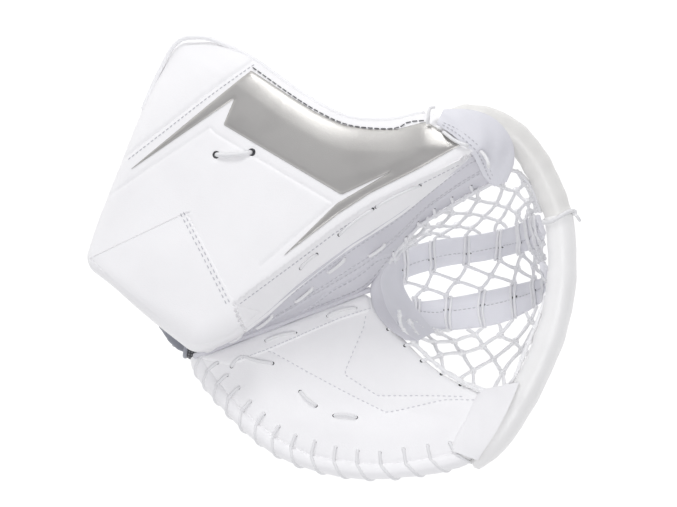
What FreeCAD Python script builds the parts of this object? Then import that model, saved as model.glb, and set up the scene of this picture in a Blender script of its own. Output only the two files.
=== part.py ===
"""Goalie catch glove for the left hand, lying on its back with the pocket open upwards.

Units are millimetres.  Two frames are used:
  * the glove frame, which every file is written in: +X along the hand from the cuff to the fingertips, +Y towards
    the thumb, +Z out of the palm, with the origin on the flat back of the backhand pad;
  * the break frame, in which the glove is drawn: x runs along the break, the crease that the glove folds on.
glove() carries a shape from the break frame to the glove frame.
"""

import FreeCAD, Part
import math, os

V = FreeCAD.Vector
UP = V(0, 0, 1)

# ---- driving dimensions --------------------------------------------------------------------------------------
HAND_ANGLE = 31.0            # from the hand's axis to the break, seen from above
PAD_CENTRE = V(-45, -10, 0)  # the glove frame's origin, in the break frame
BREAK_Z = 88.0               # height of the crease above the floor
PALM_TILT = 20.0             # rise of the palm leaf away from the crease
BOARD_Z, BOARD_RISE_X, BOARD_RISE_Y = 153.0, 0.34, -0.45  # plane of the cuff and thumb board's face
BOARD_THICKNESS = 27.0
LEATHER = 2.4                # outer leather
GAP = 0.3                    # between pieces that only lie against each other
BEAD_R = 11.5                # padded bead round the pocket
ROLL_R = 6.5                 # rolled edge of the palm
LACE_R = 1.5                 # lacing cord
NET_R = 1.2                  # net cord
KNOT_R = 3.8                 # knot in the net
PALM_STACK = 15.4            # leather, foam and plate of the palm together
STALL_R, STALL_WALL = 12.5, 1.4


# ---- general helpers -----------------------------------------------------------------------------------------
def glove(shape):
    """A shape of the break frame, placed in the glove frame."""
    out = shape.copy()
    out.translate(-PAD_CENTRE)
    out.rotate(V(0, 0, 0), UP, HAND_ANGLE)
    return out


def save(name, *shapes):
    """Writes one node.  Its solids stay separate."""
    solids = [s for shape in shapes for s in shape.Solids]
    assert solids and all(s.isValid() and s.Volume > 0 for s in solids), name
    Part.makeCompound(solids).exportStep("parts/%s.step" % name)


def rounded_path(points, closed, share=0.45):
    """Edges of straight runs joined by tangent arcs, each as large as its two runs allow."""
    points = [V(*p) for p in points]
    count = len(points)
    inner = range(count) if closed else range(1, count - 1)
    cuts, arcs = {}, {}
    for i in inner:
        before, here, after = points[i - 1], points[i], points[(i + 1) % count]
        into, out = (here - before), (after - here)
        reach = share * min(into.Length, out.Length)
        start = here - V(into).normalize() * reach
        end = here + V(out).normalize() * reach
        if V(into).getAngle(out) < 0.01:
            continue
        half = into.getAngle(out) / 2
        radius = reach / math.tan(half)
        middle = ((start - here) + (end - here)).normalize()
        centre = here + middle * math.hypot(radius, reach)
        cuts[i] = (start, end)
        arcs[i] = Part.Arc(start, centre - middle * radius, end).toShape()
    edges = []
    for i in range(count if closed else count - 1):
        j = (i + 1) % count
        a = cuts[i][1] if i in cuts else points[i]
        b = cuts[j][0] if j in cuts else points[j]
        if i in arcs:
            edges.append(arcs[i])
        edges.append(Part.LineSegment(a, b).toShape())
    return edges


def tube(points, radius):
    """A round tube along straight runs and tangent arcs."""
    spine = Part.Wire(rounded_path(points, False))
    start, ahead = V(*points[0]), V(*points[1]) - V(*points[0])
    ring = Part.Wire(Part.makeCircle(radius, start, ahead))
    return Part.makeSolid(spine.makePipeShell([ring], True, True))


def outline(points, grow=0.0, share=0.45):
    """A closed flat face with rounded corners, grown or shrunk by an offset."""
    face = Part.Face(Part.Wire(rounded_path([(x, y, 0) for x, y in points], True, share)))
    return face.makeOffset2D(grow) if grow else face


def slab(points, low, high, grow=0.0, share=0.45):
    """A plate between two heights."""
    plate = outline(points, grow, share).extrude(V(0, 0, high - low))
    plate.translate(V(0, 0, low))
    return plate.Solids[0]


def loft(sections):
    """A solid through closed polygons that all have the same number of corners."""
    wires = [Part.makePolygon([V(*p) for p in s] + [V(*s[0])]) for s in sections]
    return Part.makeLoft(wires, True, False).Solids[0]


def between(a, b, t):
    return tuple(p + (q - p) * t for p, q in zip(a, b))


def along(points, t):
    """The point a share t of the way along a chain of points."""
    runs = [math.dist(a, b) for a, b in zip(points, points[1:])]
    left = t * sum(runs)
    for i, run in enumerate(runs):
        if left <= run or i == len(runs) - 1:
            return between(points[i], points[i + 1], left / run)
        left -= run


# ---- the palm leaf: drawn flat with its top face at height 0, then tilted about the crease ----------------------
PALM_OUTLINE = [
    (-76, -4), (-69, -20), (-65, -39), (-55, -68), (-38, -95), (-14, -116), (18, -135), (53, -144),
    (84, -147), (100, -142), (112, -134), (118, -124), (118, -112), (107, -102), (93, -84), (83, -64),
    (75, -41), (72, -20), (72, -4),
]
RIM_PATH = [
    (-84, -9), (-80, -24), (-74, -42), (-63, -71), (-44, -100), (-19, -122), (15, -141), (51, -152),
    (80, -157), (98, -156),
]
RIM_DEPTH = -7.5


def leaf(shape):
    """A shape drawn in the palm leaf's own plane, placed in the break frame."""
    out = shape.copy()
    out.rotate(V(0, 0, 0), V(1, 0, 0), -PALM_TILT)
    out.translate(V(0, 0, BREAK_Z))
    return out


def staple(a, b, surface, rise=2.2, sink=0.9):
    """A lace stitch that lies on a face between two holes, drawn in that face's plane."""
    side = V(b[0] - a[0], b[1] - a[1], 0).normalize() * (LACE_R + 1.0)
    low, high = surface + sink, surface + rise + 0.6
    first, last = V(a[0], a[1], low), V(b[0], b[1], low)
    points = [first, V(a[0], a[1], high) + side * 0.3, V(b[0], b[1], high) - side * 0.3, last]
    return tube([tuple(p) for p in points], LACE_R)


def palm_sheets():
    save("palm_leather", glove(leaf(slab(PALM_OUTLINE, -LEATHER, 0))))
    save("palm_foam", glove(leaf(slab(PALM_OUTLINE, -13, -LEATHER - 0.1, -3))))
    save("palm_plate", glove(leaf(slab(PALM_OUTLINE, -PALM_STACK, -13.2, -8))))
    strip = [(-66, -5), (66, -5), (66, -18), (-56, -18)]
    save("break_strip", glove(leaf(slab(strip, 0.1, 2.0))))


def break_roll():
    """The leather roll that fills the crease, on the axis that the glove folds about."""
    roll = Part.makeCylinder(1.8, 146, V(-76, 0, BREAK_Z), V(1, 0, 0))
    save("break_roll", glove(roll))


def rim():
    """The rolled edge of the palm, and the lace that whips round it."""
    path = [(x, y, RIM_DEPTH) for x, y in RIM_PATH]
    save("rim_roll", glove(leaf(tube(path, ROLL_R))))
    stitches = []
    count = 21
    for i in range(count):
        t = (i + 0.95) / (count + 0.4)
        here, ahead = V(*along(path, t - 0.01)), V(*along(path, t + 0.01))
        out = (ahead - here).normalize().cross(UP)
        centre = V(*along(path, t))
        reach = ROLL_R + LACE_R + 0.4
        over = LACE_R + 0.8
        corners = [(-17, over), (0, over), (reach + 0.8, RIM_DEPTH + reach - 3), (reach + 0.8, RIM_DEPTH - reach + 3),
                   (0, RIM_DEPTH - reach - 0.9), (-5, RIM_DEPTH - reach - 0.9)]
        points = [V(centre.x, centre.y, height) + out * along_out for along_out, height in corners]
        stitches.append(glove(leaf(tube([tuple(p) for p in points], LACE_R))))
    save("rim_lacing", *stitches)


def palm_laces():
    """Short lace stitches that hold the palm's layers together."""
    ends = [
        ((-28, -9), (-4, -13)), ((33, -8), (57, -12)), ((-8, -62), (2, -78)), ((8, -88), (24, -95)),
        ((-58, -28), (-34, -27)),
    ]
    stitches = [glove(leaf(staple(a, b, 2.1 if a[1] > -20 else 0.1))) for a, b in ends]
    save("palm_laces", *stitches)


# ---- the hand's compartment ------------------------------------------------------------------------------------
FINGERS = {"index": (28, 70), "middle": (2, 82), "ring": (-24, 76), "little": (-50, 58)}  # offset, length
KNUCKLE = V(-6, -36, 0)      # centre of the finger bases, in the palm leaf's plane
STALL_DEPTH = -(PALM_STACK + 1.6 + STALL_R)
HAND = V(math.cos(math.radians(HAND_ANGLE)), -math.sin(math.radians(HAND_ANGLE)), 0)
ACROSS = V(math.sin(math.radians(HAND_ANGLE)), math.cos(math.radians(HAND_ANGLE)), 0)


def finger_stalls():
    """Four fabric stalls under the palm leaf, and a padded shield behind each one."""
    for name, (offset, length) in FINGERS.items():
        base = KNUCKLE + ACROSS * offset + V(0, 0, STALL_DEPTH)
        outer = Part.makeCylinder(STALL_R, length, base, HAND)
        inner = Part.makeCylinder(STALL_R - STALL_WALL, length, base - HAND * STALL_WALL, HAND)
        save("finger_stall_" + name, glove(leaf(outer.cut(inner))))
        half = 12.6
        first, last = KNUCKLE + ACROSS * offset - HAND * 2, KNUCKLE + ACROSS * offset + HAND * (length + 5)
        corners = [first - ACROSS * half, last - ACROSS * (half - 3), last + ACROSS * (half - 3), first + ACROSS * half]
        top = STALL_DEPTH - STALL_R - GAP
        shield = slab([(p.x, p.y) for p in corners], top - 11, top)
        save("finger_shield_" + name, glove(leaf(shield)))


LINING = [(-50, -16, 46, 22, 69), (0, -36, 46, 18.5, 69), (46, -50, 44, 18.5, 66)]  # x, low y, high y, low z, high z


def duct(grow, stretch):
    sections = []
    for i, (x, y0, y1, z0, z1) in enumerate(LINING):
        x += (-stretch, 0, stretch)[i]
        y0, y1, z0, z1 = y0 - grow, y1 + grow, z0 - grow, z1 + grow
        sections.append([(x, y0, z0), (x, y1, z0), (x, y1, z1), (x, y0, z1)])
    return loft(sections)


def hand_compartment():
    """The lining that the hand goes into, open at the wrist and at the fingers, and the pads behind the hand."""
    save("hand_lining", duct(0, 0).cut(duct(-1.5, 5)))
    pad = slab([(-22, -28), (20, -44), (47, -50), (47, 44), (-22, 46)], 0, 16)
    channel = Part.makeBox(27, 120, 4.6, V(14, -60, 0))
    save("backhand_pad", pad.cut(channel))
    save("wrist_guard", slab([(-86, 6), (-66, -14), (-25, -26), (-25, 48), (-84, 52)], 9, 18, 0, 0.2))
    knuckle = Part.Face(Part.makePolygon([V(x, -50, z) for x, z in
                                          [(49, 3), (72, 26), (72, 36), (58, 36), (49, 16), (49, 3)]]))
    save("knuckle_pad", knuckle.extrude(V(0, 92, 0)))
    grip = slab([(-44, -8), (20, -34), (30, 10), (-30, 24)], 0, 1.2)
    grip.translate(V(0, 0, 69.6))
    save("palm_grip", grip)


def straps():
    """Two hook-and-loop straps behind the wrist and the hand, each sewn down at the little finger's side."""
    save("wrist_strap", slab([(-66, -3), (-41, -3), (-41, 58), (-66, 58)], 4.2, 7.0, 0, 0.2))
    save("wrist_strap_hook", slab([(-64, 20), (-43, 20), (-43, 44), (-64, 44)], 7.05, 8.0, 0, 0.1))
    save("wrist_loop_patch", slab([(-65, 18), (-42, 18), (-42, 46), (-65, 46)], 8.05, 8.95, 0, 0.1))
    save("wrist_strap_anchor", slab([(-65, -12), (-42, -12), (-42, -4), (-65, -4)], 4.0, 8.9, 0, 0.1))
    save("hand_strap", slab([(16, -34), (39, -34), (39, 56), (16, 56)], 0.9, 3.2, 0, 0.2))
    save("hand_strap_hook", slab([(18, 12), (37, 12), (37, 40), (18, 40)], 3.25, 3.75, 0, 0.1))
    save("hand_loop_patch", slab([(17, 10), (38, 10), (38, 42), (17, 42)], 3.8, 4.55, 0, 0.1))
    save("hand_strap_anchor", slab([(17, -43), (38, -43), (38, -35), (17, -35)], 0.8, 4.5, 0, 0.1))


def side_wall():
    """The padded wall on the little finger's side, from the backhand pad up to the palm leaf."""
    sections = []
    for x, y, top in [(-14, -34, 64), (2, -44, 70), (22, -53, 76), (44, -58, 66)]:
        sections.append([(x, y - 7, 17), (x, y, 17), (x, y, top), (x, y - 7, top)])
    save("side_wall", loft(sections))


# ---- the cuff and thumb board ----------------------------------------------------------------------------------
BOARD_OUTLINE = [
    (-86, 5), (-75, 1), (-51, 2), (-23, 9), (15, 24), (58, 37), (108, 47), (147, 60), (182, 71), (178, 84),
    (168, 100), (155, 111), (129, 113), (92, 127), (65, 158), (33, 212), (8, 241), (-8, 251), (-18, 247),
    (-44, 223), (-127, 130), (-144, 108), (-144, 98), (-131, 79), (-109, 40),
]
BOARD_NORMAL = V(-BOARD_RISE_X, -BOARD_RISE_Y, 1).normalize()


def board_z(x, y):
    return BOARD_Z + BOARD_RISE_X * x + BOARD_RISE_Y * y


def board_bottom(x, y):
    return board_z(x, y) - BOARD_THICKNESS / BOARD_NORMAL.z


def board_slab(points, low, high, grow=0.0, share=0.45):
    """A plate parallel to the board's face, between two depths below or above it, with upright edges."""
    column = outline(points, grow, share).extrude(V(0, 0, 500))
    column.translate(V(0, 0, -100))
    layer = Part.makeBox(900, 900, high - low, V(-450, -450, low))
    layer.Placement = FreeCAD.Placement(V(0, 0, BOARD_Z), FreeCAD.Rotation(UP, BOARD_NORMAL)).multiply(layer.Placement)
    return column.common(layer).Solids[0]


def board():
    """The board is a foam and plastic sandwich in a leather cover, with panels sewn to its face."""
    thickness = BOARD_THICKNESS
    save("cuff_cover_front", glove(board_slab(BOARD_OUTLINE, -LEATHER, 0)))
    save("cuff_foam_front", glove(board_slab(BOARD_OUTLINE, -12.8, -LEATHER - 0.1, -3)))
    save("cuff_stiffener", glove(board_slab(BOARD_OUTLINE, -15, -13, -6)))
    save("cuff_foam_back", glove(board_slab(BOARD_OUTLINE, -thickness + LEATHER + 0.1, -15.2, -3)))
    save("cuff_cover_back", glove(board_slab(BOARD_OUTLINE, -thickness, -thickness + LEATHER)))
    edge = board_slab(BOARD_OUTLINE, -thickness + LEATHER + 0.1, -LEATHER - 0.1)
    save("cuff_edge_band", glove(edge.cut(board_slab(BOARD_OUTLINE, -thickness - 5, 5, -2.4))))
    accent = [(39, 202), (61, 170), (76, 149), (93, 131), (111, 120), (130, 112), (154, 109), (173, 82), (134, 76),
              (93, 72), (68, 65), (18, 53), (65, 74), (114, 82), (71, 79), (2, 168), (18, 185), (-86, 162),
              (29, 199)]
    save("accent_band", glove(board_slab(accent, 0.1, 1.3, 0, 0.05)))
    heel = [(-137, 104), (-51, 113), (-40, 29), (-10, 19), (-24, 13), (-51, 7), (-74, 6), (-83, 9), (-105, 43),
            (-127, 81)]
    save("heel_overlay", glove(board_slab(heel, 0.1, 1.3, 0, 0.1)))


def board_trim():
    """Piping along the board's far edge, and the lace stitch with its two eyelets in the middle of the face."""
    far_edge = [(-80, 188), (-47, 226), (-18, 252), (-4, 253), (12, 243), (37, 214), (69, 161), (95, 130), (128, 117),
                (148, 115)]
    depth = 6.0
    path = []
    for x, y in far_edge:
        path.append((x, y, board_z(x, y) - depth))
    save("cuff_piping", glove(tube(path, 2.0)))
    hole_a, hole_b = V(-12, 147, 0), V(16, 138, 0)
    lift = 3.6
    ends = [V(p.x, p.y, board_z(p.x, p.y)) + BOARD_NORMAL * 0.9 for p in (hole_a, hole_b)]
    tops = [p + BOARD_NORMAL * (lift - 0.9) for p in ends]
    run = (tops[1] - tops[0]).normalize()
    points = [ends[0], tops[0] + run * 0.9, tops[1] - run * 0.9, ends[1]]
    save("cuff_lace", glove(tube([tuple(p) for p in points], LACE_R)))
    rings = []
    for p in ends:
        base = p - BOARD_NORMAL * 0.8
        rings.append(glove(Part.makeCylinder(3.2, 0.7, base, BOARD_NORMAL)
                           .cut(Part.makeCylinder(2.0, 3, base - BOARD_NORMAL, BOARD_NORMAL))))
    save("cuff_eyelets", *rings)


# ---- the thumb wall --------------------------------------------------------------------------------------------
WALL = [  # foot (x, y, z) and the plan position of the head, which meets the board's back
    ((-72, 3.5, 90), (-72, 4)), ((-50, 3.5, 90), (-50, 6)), ((-23, 3.5, 90), (-23, 12)), ((15, 3.5, 90), (15, 26)),
    ((58, 3.5, 90), (58, 39)), ((80, 11, 97), (86, 46)), ((97, 23, 109), (112, 52)), ((117, 39, 122), (134, 60)),
    ((143, 50, 133), (154, 67)), ((166, 57, 139), (170, 73)),
]
WALL_OUT = V(0, 5.6, -5.6)


def wall_section(foot, head_xy, inside, outside):
    x, y = head_xy
    shift = WALL_OUT.normalize() * outside
    back_y = y + shift.y
    foot = V(*foot)
    head = V(x, y, board_bottom(x, back_y) - 1.2)
    start = V(WALL_OUT).normalize() * inside
    return [tuple(foot + start), tuple(head + start), tuple(head + shift), tuple(foot + shift)]


def thumb_wall():
    """The wall of the pocket that the thumb lies behind, with a stitched gusset on its face."""
    save("thumb_wall", glove(loft([wall_section(f, h, 0, 8) for f, h in WALL])))
    gusset = []
    for foot, head in WALL[2:6]:
        x, y = head
        top = V(x, y, board_bottom(x, y + 5.6) - 1.2)
        low, high = between(foot, tuple(top), 0.12), between(foot, tuple(top), 0.66)
        lift, face = V(0, -0.6, 0.6), V(0, -1.6, 1.6)
        gusset.append([tuple(V(*low) + lift), tuple(V(*high) + lift), tuple(V(*high) + face), tuple(V(*low) + face)])
    save("thumb_gusset", glove(loft(gusset)))


THUMB_LINE = [(0, 35, 80), (104, 63, 103)]


def thumb_back():
    """The thumb's stall, and the padded shell behind it."""
    start, end = V(*THUMB_LINE[0]), V(*THUMB_LINE[1])
    way = V(end - start).normalize()
    outer = Part.makeCylinder(13, (end - start).Length, start, end - start)
    inner = Part.makeCylinder(11.6, (end - start).Length, start - way * 1.4, end - start)
    save("thumb_stall", glove(outer.cut(inner)))
    sections = []
    for x, line in [(8, [(16, 74), (40, 60), (68, 62), (84, 80)]), (50, [(18, 78), (46, 66), (76, 70), (90, 84)]),
                    (95, [(40, 92), (62, 82), (84, 86), (94, 99)]), (138, [(62, 118), (76, 110), (88, 108), (96, 116)])]:
        inner = [(x, y, z - 2) for y, z in line]
        outer = [(x, y + d, z - 9) for (y, z), d in zip(line, (-3, -1, 3, 6))]
        sections.append(inner + outer[::-1])
    save("thumb_back_shell", glove(loft(sections)))


def thumb_laces():
    """Long lace stitches along the seam between the board and the thumb wall."""
    stitches = []
    for a, b in [(0.30, 0.39), (0.45, 0.53), (0.60, 0.69), (0.76, 0.83)]:
        heads = [(x, y - 11.0, board_bottom(x, y + 5.6) - 6.5) for _, (x, y) in WALL[:9]]
        stitches.append(glove(tube([along(heads, a), along(heads, b)], LACE_R)))
    save("thumb_laces", *stitches)


# ---- bead, straps and net of the pocket ------------------------------------------------------------------------
BEAD_THUMB = [(178, 102, 155), (197, 95, 158), (213, 78, 159), (221, 57, 158)]
BEAD_FOLD = [(225, 30, 157), (224, 2, 157), (216, -26, 158)]
BEAD_FINGER = [(201, -59, 158), (182, -86, 156), (160, -110, 152), (134, -133, 148), (108, -150, 144)]


def bead_piece(before, points, after):
    """A length of the bead that ends halfway to its neighbours' nearest points, less half a gap."""
    chain = list(points)
    for index, neighbour in ((0, before), (-1, after)):
        if neighbour:
            run = V(*neighbour) - V(*points[index])
            end = tuple(V(*points[index]) + run * (0.5 - GAP / 2 / run.Length))
            chain = [end] + chain if index == 0 else chain + [end]
    return glove(tube(chain, BEAD_R))


def bead():
    """The padded bead, in three lengths: one on each half of the glove, and the length that folds."""
    save("bead_thumb", bead_piece(None, BEAD_THUMB, BEAD_FOLD[0]))
    save("bead_fold", bead_piece(BEAD_THUMB[-1], BEAD_FOLD, BEAD_FINGER[0]))
    save("bead_finger", bead_piece(BEAD_FOLD[-1], BEAD_FINGER, None))
    tab = [(152, 106), (172, 78), (186, 72), (204, 80), (203, 98), (186, 111), (162, 114)]
    save("bead_tab_thumb", glove(board_slab(tab, 1.6, 3.6)))
    corner = [(98, -138), (112, -131), (116, -122), (115, -112), (103, -112), (88, -134)]
    save("bead_tab_finger", glove(leaf(slab(corner, 0.2, 2.2))))
    start, middle, end = (V(*point) for point in BEAD_FOLD)
    knot = Part.makeTorus(BEAD_R + 3.2, 1.8, middle, end - start)
    save("fold_knot", glove(knot))


# x and z of the pocket's floor from the crotch to the bead, then the two straps' edges: y and lift of each
STRAP_STATIONS = [
    (83, 58, -4, 10, 4, -20, -38, 4), (90, 30, -4, 17, 9, -20, -46, 10), (106, 14, -3, 20, 18, -27, -55, 17),
    (135, 6.5, -6, 17, 22, -34, -62, 20), (165, 10, -13, 12, 22, -39, -66, 21), (189, 29, -16, 8, 16, -42, -65, 16),
    (202, 60, -17, 6, 8, -42, -60, 8), (207, 100, -14, 8, 3, -36, -52, 3), (209, 137, -8, 9, 0, -27, -41, 0),
]
STRAP_THICKNESS = 4.0


def strap_edges(side):
    """The inner and outer edge of one strap, each with the direction that faces out of the pocket."""
    near, far, outward = [], [], []
    for i, station in enumerate(STRAP_STATIONS):
        a = STRAP_STATIONS[max(i - 1, 0)]
        b = STRAP_STATIONS[min(i + 1, len(STRAP_STATIONS) - 1)]
        run = V(b[0] - a[0], 0, b[1] - a[1]).normalize()
        out = V(run.z, 0, -run.x)
        x, z = station[0], station[1]
        y_near, y_far, lift = station[2:5] if side == "thumb" else station[5:8]
        x -= 0 if side == "thumb" else max(0, z - 90) * 0.22
        near.append(V(x, y_near, z))
        far.append(V(x, y_far, z) - out * lift)
        outward.append(out)
    return near, far, outward


def pocket_straps():
    """The two straps of the pocket, and the cup at the crotch that they start from."""
    for side in ("thumb", "finger"):
        near, far, outward = strap_edges(side)
        sections = []
        for a, b, out in zip(near, far, outward):
            back = out * STRAP_THICKNESS
            sections.append([tuple(a), tuple(b), tuple(b + back), tuple(a + back)])
        save("pocket_strap_" + side, glove(loft(sections)))
    cup = []
    for y, x, top, low in [(12, 86, 84, 62), (2, 82, 82, 60), (-9, 80.5, 81, 30), (-18, 81, 82, 60), (-34, 83, 88, 64)]:
        cup.append([(x - 3, y, top), (x, y, top), (x + 1, y, max(low, 62)), (x - 3, y, max(low, 62))])
    save("pocket_base", glove(loft(cup)))


def strand(a, b, trim_a, trim_b):
    a, b = V(*a), V(*b)
    way = V(b - a).normalize()
    start = a + way * trim_a
    return Part.makeCylinder(NET_R, (b - a).Length - trim_a - trim_b, start, way)


def net_solids(low_edge, high_edge, columns, rows, sag):
    """Knots and straight strands of a diamond net between two chains of points."""
    def knot_at(i, j):
        shift = 0.5 if j % 2 else 0.0
        t = (i + 0.35 + shift) / (columns + 0.2)
        s = (j + 1) / (rows + 1)
        p = between(along(low_edge, t), along(high_edge, t), s)
        drop = sag * 4 * s * (1 - s)
        return (p[0] + drop * 0.5, p[1], p[2] - drop)

    solids = []
    for j in range(rows):
        for i in range(columns):
            here = knot_at(i, j)
            solids.append(Part.makeSphere(KNOT_R, V(*here)))
            if j + 1 < rows:
                sides = (i, i + 1) if j % 2 else (i - 1, i)
                for k in sides:
                    if 0 <= k < columns:
                        solids.append(strand(here, knot_at(k, j + 1), KNOT_R, KNOT_R))
            else:
                t = (i + 0.35 + (0.5 if j % 2 else 0)) / (columns + 0.2)
                solids.append(strand(here, along(high_edge, min(t, 1)), KNOT_R, 5.5))
            if j == 0:
                t = (i + 0.35) / (columns + 0.2)
                solids.append(strand(here, along(low_edge, t), KNOT_R, 3.5))
    return [glove(s) for s in solids]


NET_THUMB_EDGE = [(86, 13, 101), (98, 22, 112), (117, 37, 124), (143, 47, 135), (168, 55, 142), (188, 66, 150),
                  (203, 70, 153), (209, 50, 156), (211, 25, 155), (210, 10, 150)]
NET_FINGER_EDGE = [(84, -24, 96), (83, -39, 102), (90, -60, 110), (101, -80, 117), (114, -97, 123), (126, -108, 127),
                   (140, -108, 146), (158, -90, 152), (180, -66, 156), (193, -50, 155)]


def nets():
    """The laced net in three panels: from each strap to the glove's edge, and between the straps."""
    _, far, _ = strap_edges("thumb")
    edge = [tuple(p + V(0, 1.5, 1.5)) for p in far]
    save("net_thumb", *net_solids(edge, NET_THUMB_EDGE, 6, 3, 5))
    _, far, _ = strap_edges("finger")
    edge = [tuple(p + V(0, -1.5, 1.5)) for p in far]
    save("net_finger", *net_solids(edge, NET_FINGER_EDGE, 6, 3, 5))
    near_a, near_b = strap_edges("thumb")[0], strap_edges("finger")[0]
    low, high = [tuple(p) for p in near_a], [tuple(p) for p in near_b]
    solids = []
    knots = 5
    for i in range(knots):
        t = 0.2 + 0.62 * i / (knots - 1)
        centre = between(along(low, t), along(high, t), 0.5)
        solids.append(glove(Part.makeSphere(KNOT_R, V(*centre))))
        for chain in (low, high):
            for step in (-0.065, 0.065):
                foot = along(chain, t + step)
                solids.append(glove(strand(centre, foot, KNOT_R, 3.5)))
    save("net_centre", *solids)


def main():
    os.makedirs("parts", exist_ok=True)
    palm_sheets()
    break_roll()
    rim()
    palm_laces()
    finger_stalls()
    hand_compartment()
    straps()
    side_wall()
    board()
    board_trim()
    thumb_wall()
    thumb_back()
    thumb_laces()
    bead()
    pocket_straps()
    nets()


main()
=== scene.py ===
import math

import bmesh
import bpy
import numpy as np
from mathutils import Matrix, Vector, geometry


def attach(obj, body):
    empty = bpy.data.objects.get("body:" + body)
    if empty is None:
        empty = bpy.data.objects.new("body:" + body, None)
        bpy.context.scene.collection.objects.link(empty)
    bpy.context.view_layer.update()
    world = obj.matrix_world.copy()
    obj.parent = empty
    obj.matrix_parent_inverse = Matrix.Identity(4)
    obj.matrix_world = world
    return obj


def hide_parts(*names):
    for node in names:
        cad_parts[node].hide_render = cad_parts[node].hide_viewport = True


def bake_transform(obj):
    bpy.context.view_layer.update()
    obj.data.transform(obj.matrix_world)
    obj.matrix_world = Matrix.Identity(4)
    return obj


# The looks of a goalie's catch glove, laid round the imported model.
# Shapes are drawn in millimetres in the break frame: x along the crease, y towards the thumb, z up.

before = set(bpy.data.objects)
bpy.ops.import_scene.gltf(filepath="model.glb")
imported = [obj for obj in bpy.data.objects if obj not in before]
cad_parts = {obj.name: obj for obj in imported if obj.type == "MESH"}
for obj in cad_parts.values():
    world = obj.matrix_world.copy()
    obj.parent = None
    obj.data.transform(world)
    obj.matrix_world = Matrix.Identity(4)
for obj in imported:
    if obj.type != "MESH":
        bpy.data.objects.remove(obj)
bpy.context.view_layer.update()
pick = np.random.RandomState(11)

# ---- places ----
MM = 0.001
HAND_ANGLE = math.radians(31.0)
PAD_CENTRE = np.array((-45.0, -10.0, 0.0))
BREAK_Z = 88.0
PALM_TILT = math.radians(20.0)
BOARD_Z, RISE_X, RISE_Y = 153.0, 0.34, -0.45
BOARD_NORMAL = np.array((-RISE_X, -RISE_Y, 1.0)) / math.sqrt(RISE_X**2 + RISE_Y**2 + 1)
LEATHER, BOARD_THICKNESS, PALM_STACK = 2.4, 27.0, 15.4
BEAD_R, ROLL_R, NET_R, KNOT_R = 11.5, 6.8, 1.5, 2.4
SEAM_ROWS = (0.0, 0.9, 2.0)  # where points stand beside a seam


def arr(points):
    return np.array(points, float)


def plan(points):
    """Points as rows of two."""
    return arr(points).reshape(-1, 2)


def from_break(points):
    """Break-frame millimetres to row-frame metres."""
    p = arr(points).reshape(-1, 3) - PAD_CENTRE
    c, s = math.cos(HAND_ANGLE), math.sin(HAND_ANGLE)
    return np.column_stack([p[:, 0] * c - p[:, 1] * s, p[:, 0] * s + p[:, 1] * c, p[:, 2]]) * MM


def from_hand(points):
    return arr(points).reshape(-1, 3) * MM


def leaf(points):
    """Points drawn in the palm leaf's own plane, in the break frame."""
    p = arr(points).reshape(-1, 3)
    c, s = math.cos(PALM_TILT), math.sin(PALM_TILT)
    return np.column_stack([p[:, 0], p[:, 1] * c + p[:, 2] * s, p[:, 2] * c - p[:, 1] * s + BREAK_Z])


def on_board(points, lift):
    """Plan points at a height over the board's plane, in the break frame."""
    p = plan(points)
    z = BOARD_Z + RISE_X * p[:, 0] + RISE_Y * p[:, 1]
    return np.column_stack([p, z]) + np.outer(np.zeros(len(p)) + lift, (0, 0, 1 / BOARD_NORMAL[2]))


# ---- nodes ----
def tune(made, **values):
    """Sets a node's inputs and properties by name, with _ for a space. An output given as value is wired in."""
    for key, value in values.items():
        target = made.inputs.get(key.replace("_", " "))
        if target is None:
            setattr(made, key, value)
        elif isinstance(value, bpy.types.NodeSocket):
            made.id_data.links.new(value, target)
        else:
            target.default_value = value
    return made


def node(tree, kind, **values):
    return tune(tree.nodes.new(kind), **values)


def shader_of(name, colour, roughness, **values):
    material = bpy.data.materials.new(name)
    material.use_nodes = True
    shader = material.node_tree.nodes["Principled BSDF"]
    tune(shader, Base_Color=(*colour, 1), Roughness=roughness, **values)
    return material, material.node_tree, shader


# ---- camera, light and floor ----


def add_camera():
    data = bpy.data.cameras.new("camera")
    camera = bpy.data.objects.new("camera", data)
    bpy.context.scene.collection.objects.link(camera)
    camera.location = (0.05954, 0.09002, 2.120)
    camera.rotation_euler = (0, 0, math.radians(10.16))
    data.sensor_width = 36
    data.lens = 132.94
    bpy.context.scene.camera = camera


def add_light(name, place, size, power):
    data = bpy.data.lights.new(name, "AREA")
    data.shape = "DISK"
    data.size = size
    data.energy = power
    light = bpy.data.objects.new(name, data)
    light.location = place
    light.rotation_euler = (Vector((0.06, 0.08, 0.1)) - light.location).to_track_quat("-Z", "Y").to_euler()
    bpy.context.scene.collection.objects.link(light)


def add_stage():
    scene = bpy.context.scene
    scene.view_settings.view_transform = "Standard"
    scene.view_settings.look = "None"
    world = bpy.data.worlds.new("studio")
    world.use_nodes = True
    tune(world.node_tree.nodes["Background"], Color=(0.95, 0.95, 1.0, 1), Strength=0.50)
    scene.world = world
    add_light("key", (-0.62, 1.75, 0.75), 0.7, 12)
    add_light("top", (0.25, -0.3, 2.35), 1.2, 16)
    add_light("side", (-1.3, -0.5, 0.9), 0.8, 1.5)
    mesh = bpy.data.meshes.new("floor")
    corners = [(-4, -4, 0), (4, -4, 0), (4, 4, 0), (-4, 4, 0)]
    mesh.from_pydata(corners, [], [(0, 1, 2, 3)])
    floor = bpy.data.objects.new("floor", mesh)
    scene.collection.objects.link(floor)
    white = shader_of("floor_white", (0.15, 0.15, 0.15), 0.9, Emission_Color=(1, 1, 1, 1), Emission_Strength=0.96)
    mesh.materials.append(white[0])


add_camera()
add_stage()


# ---- materials ----


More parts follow.
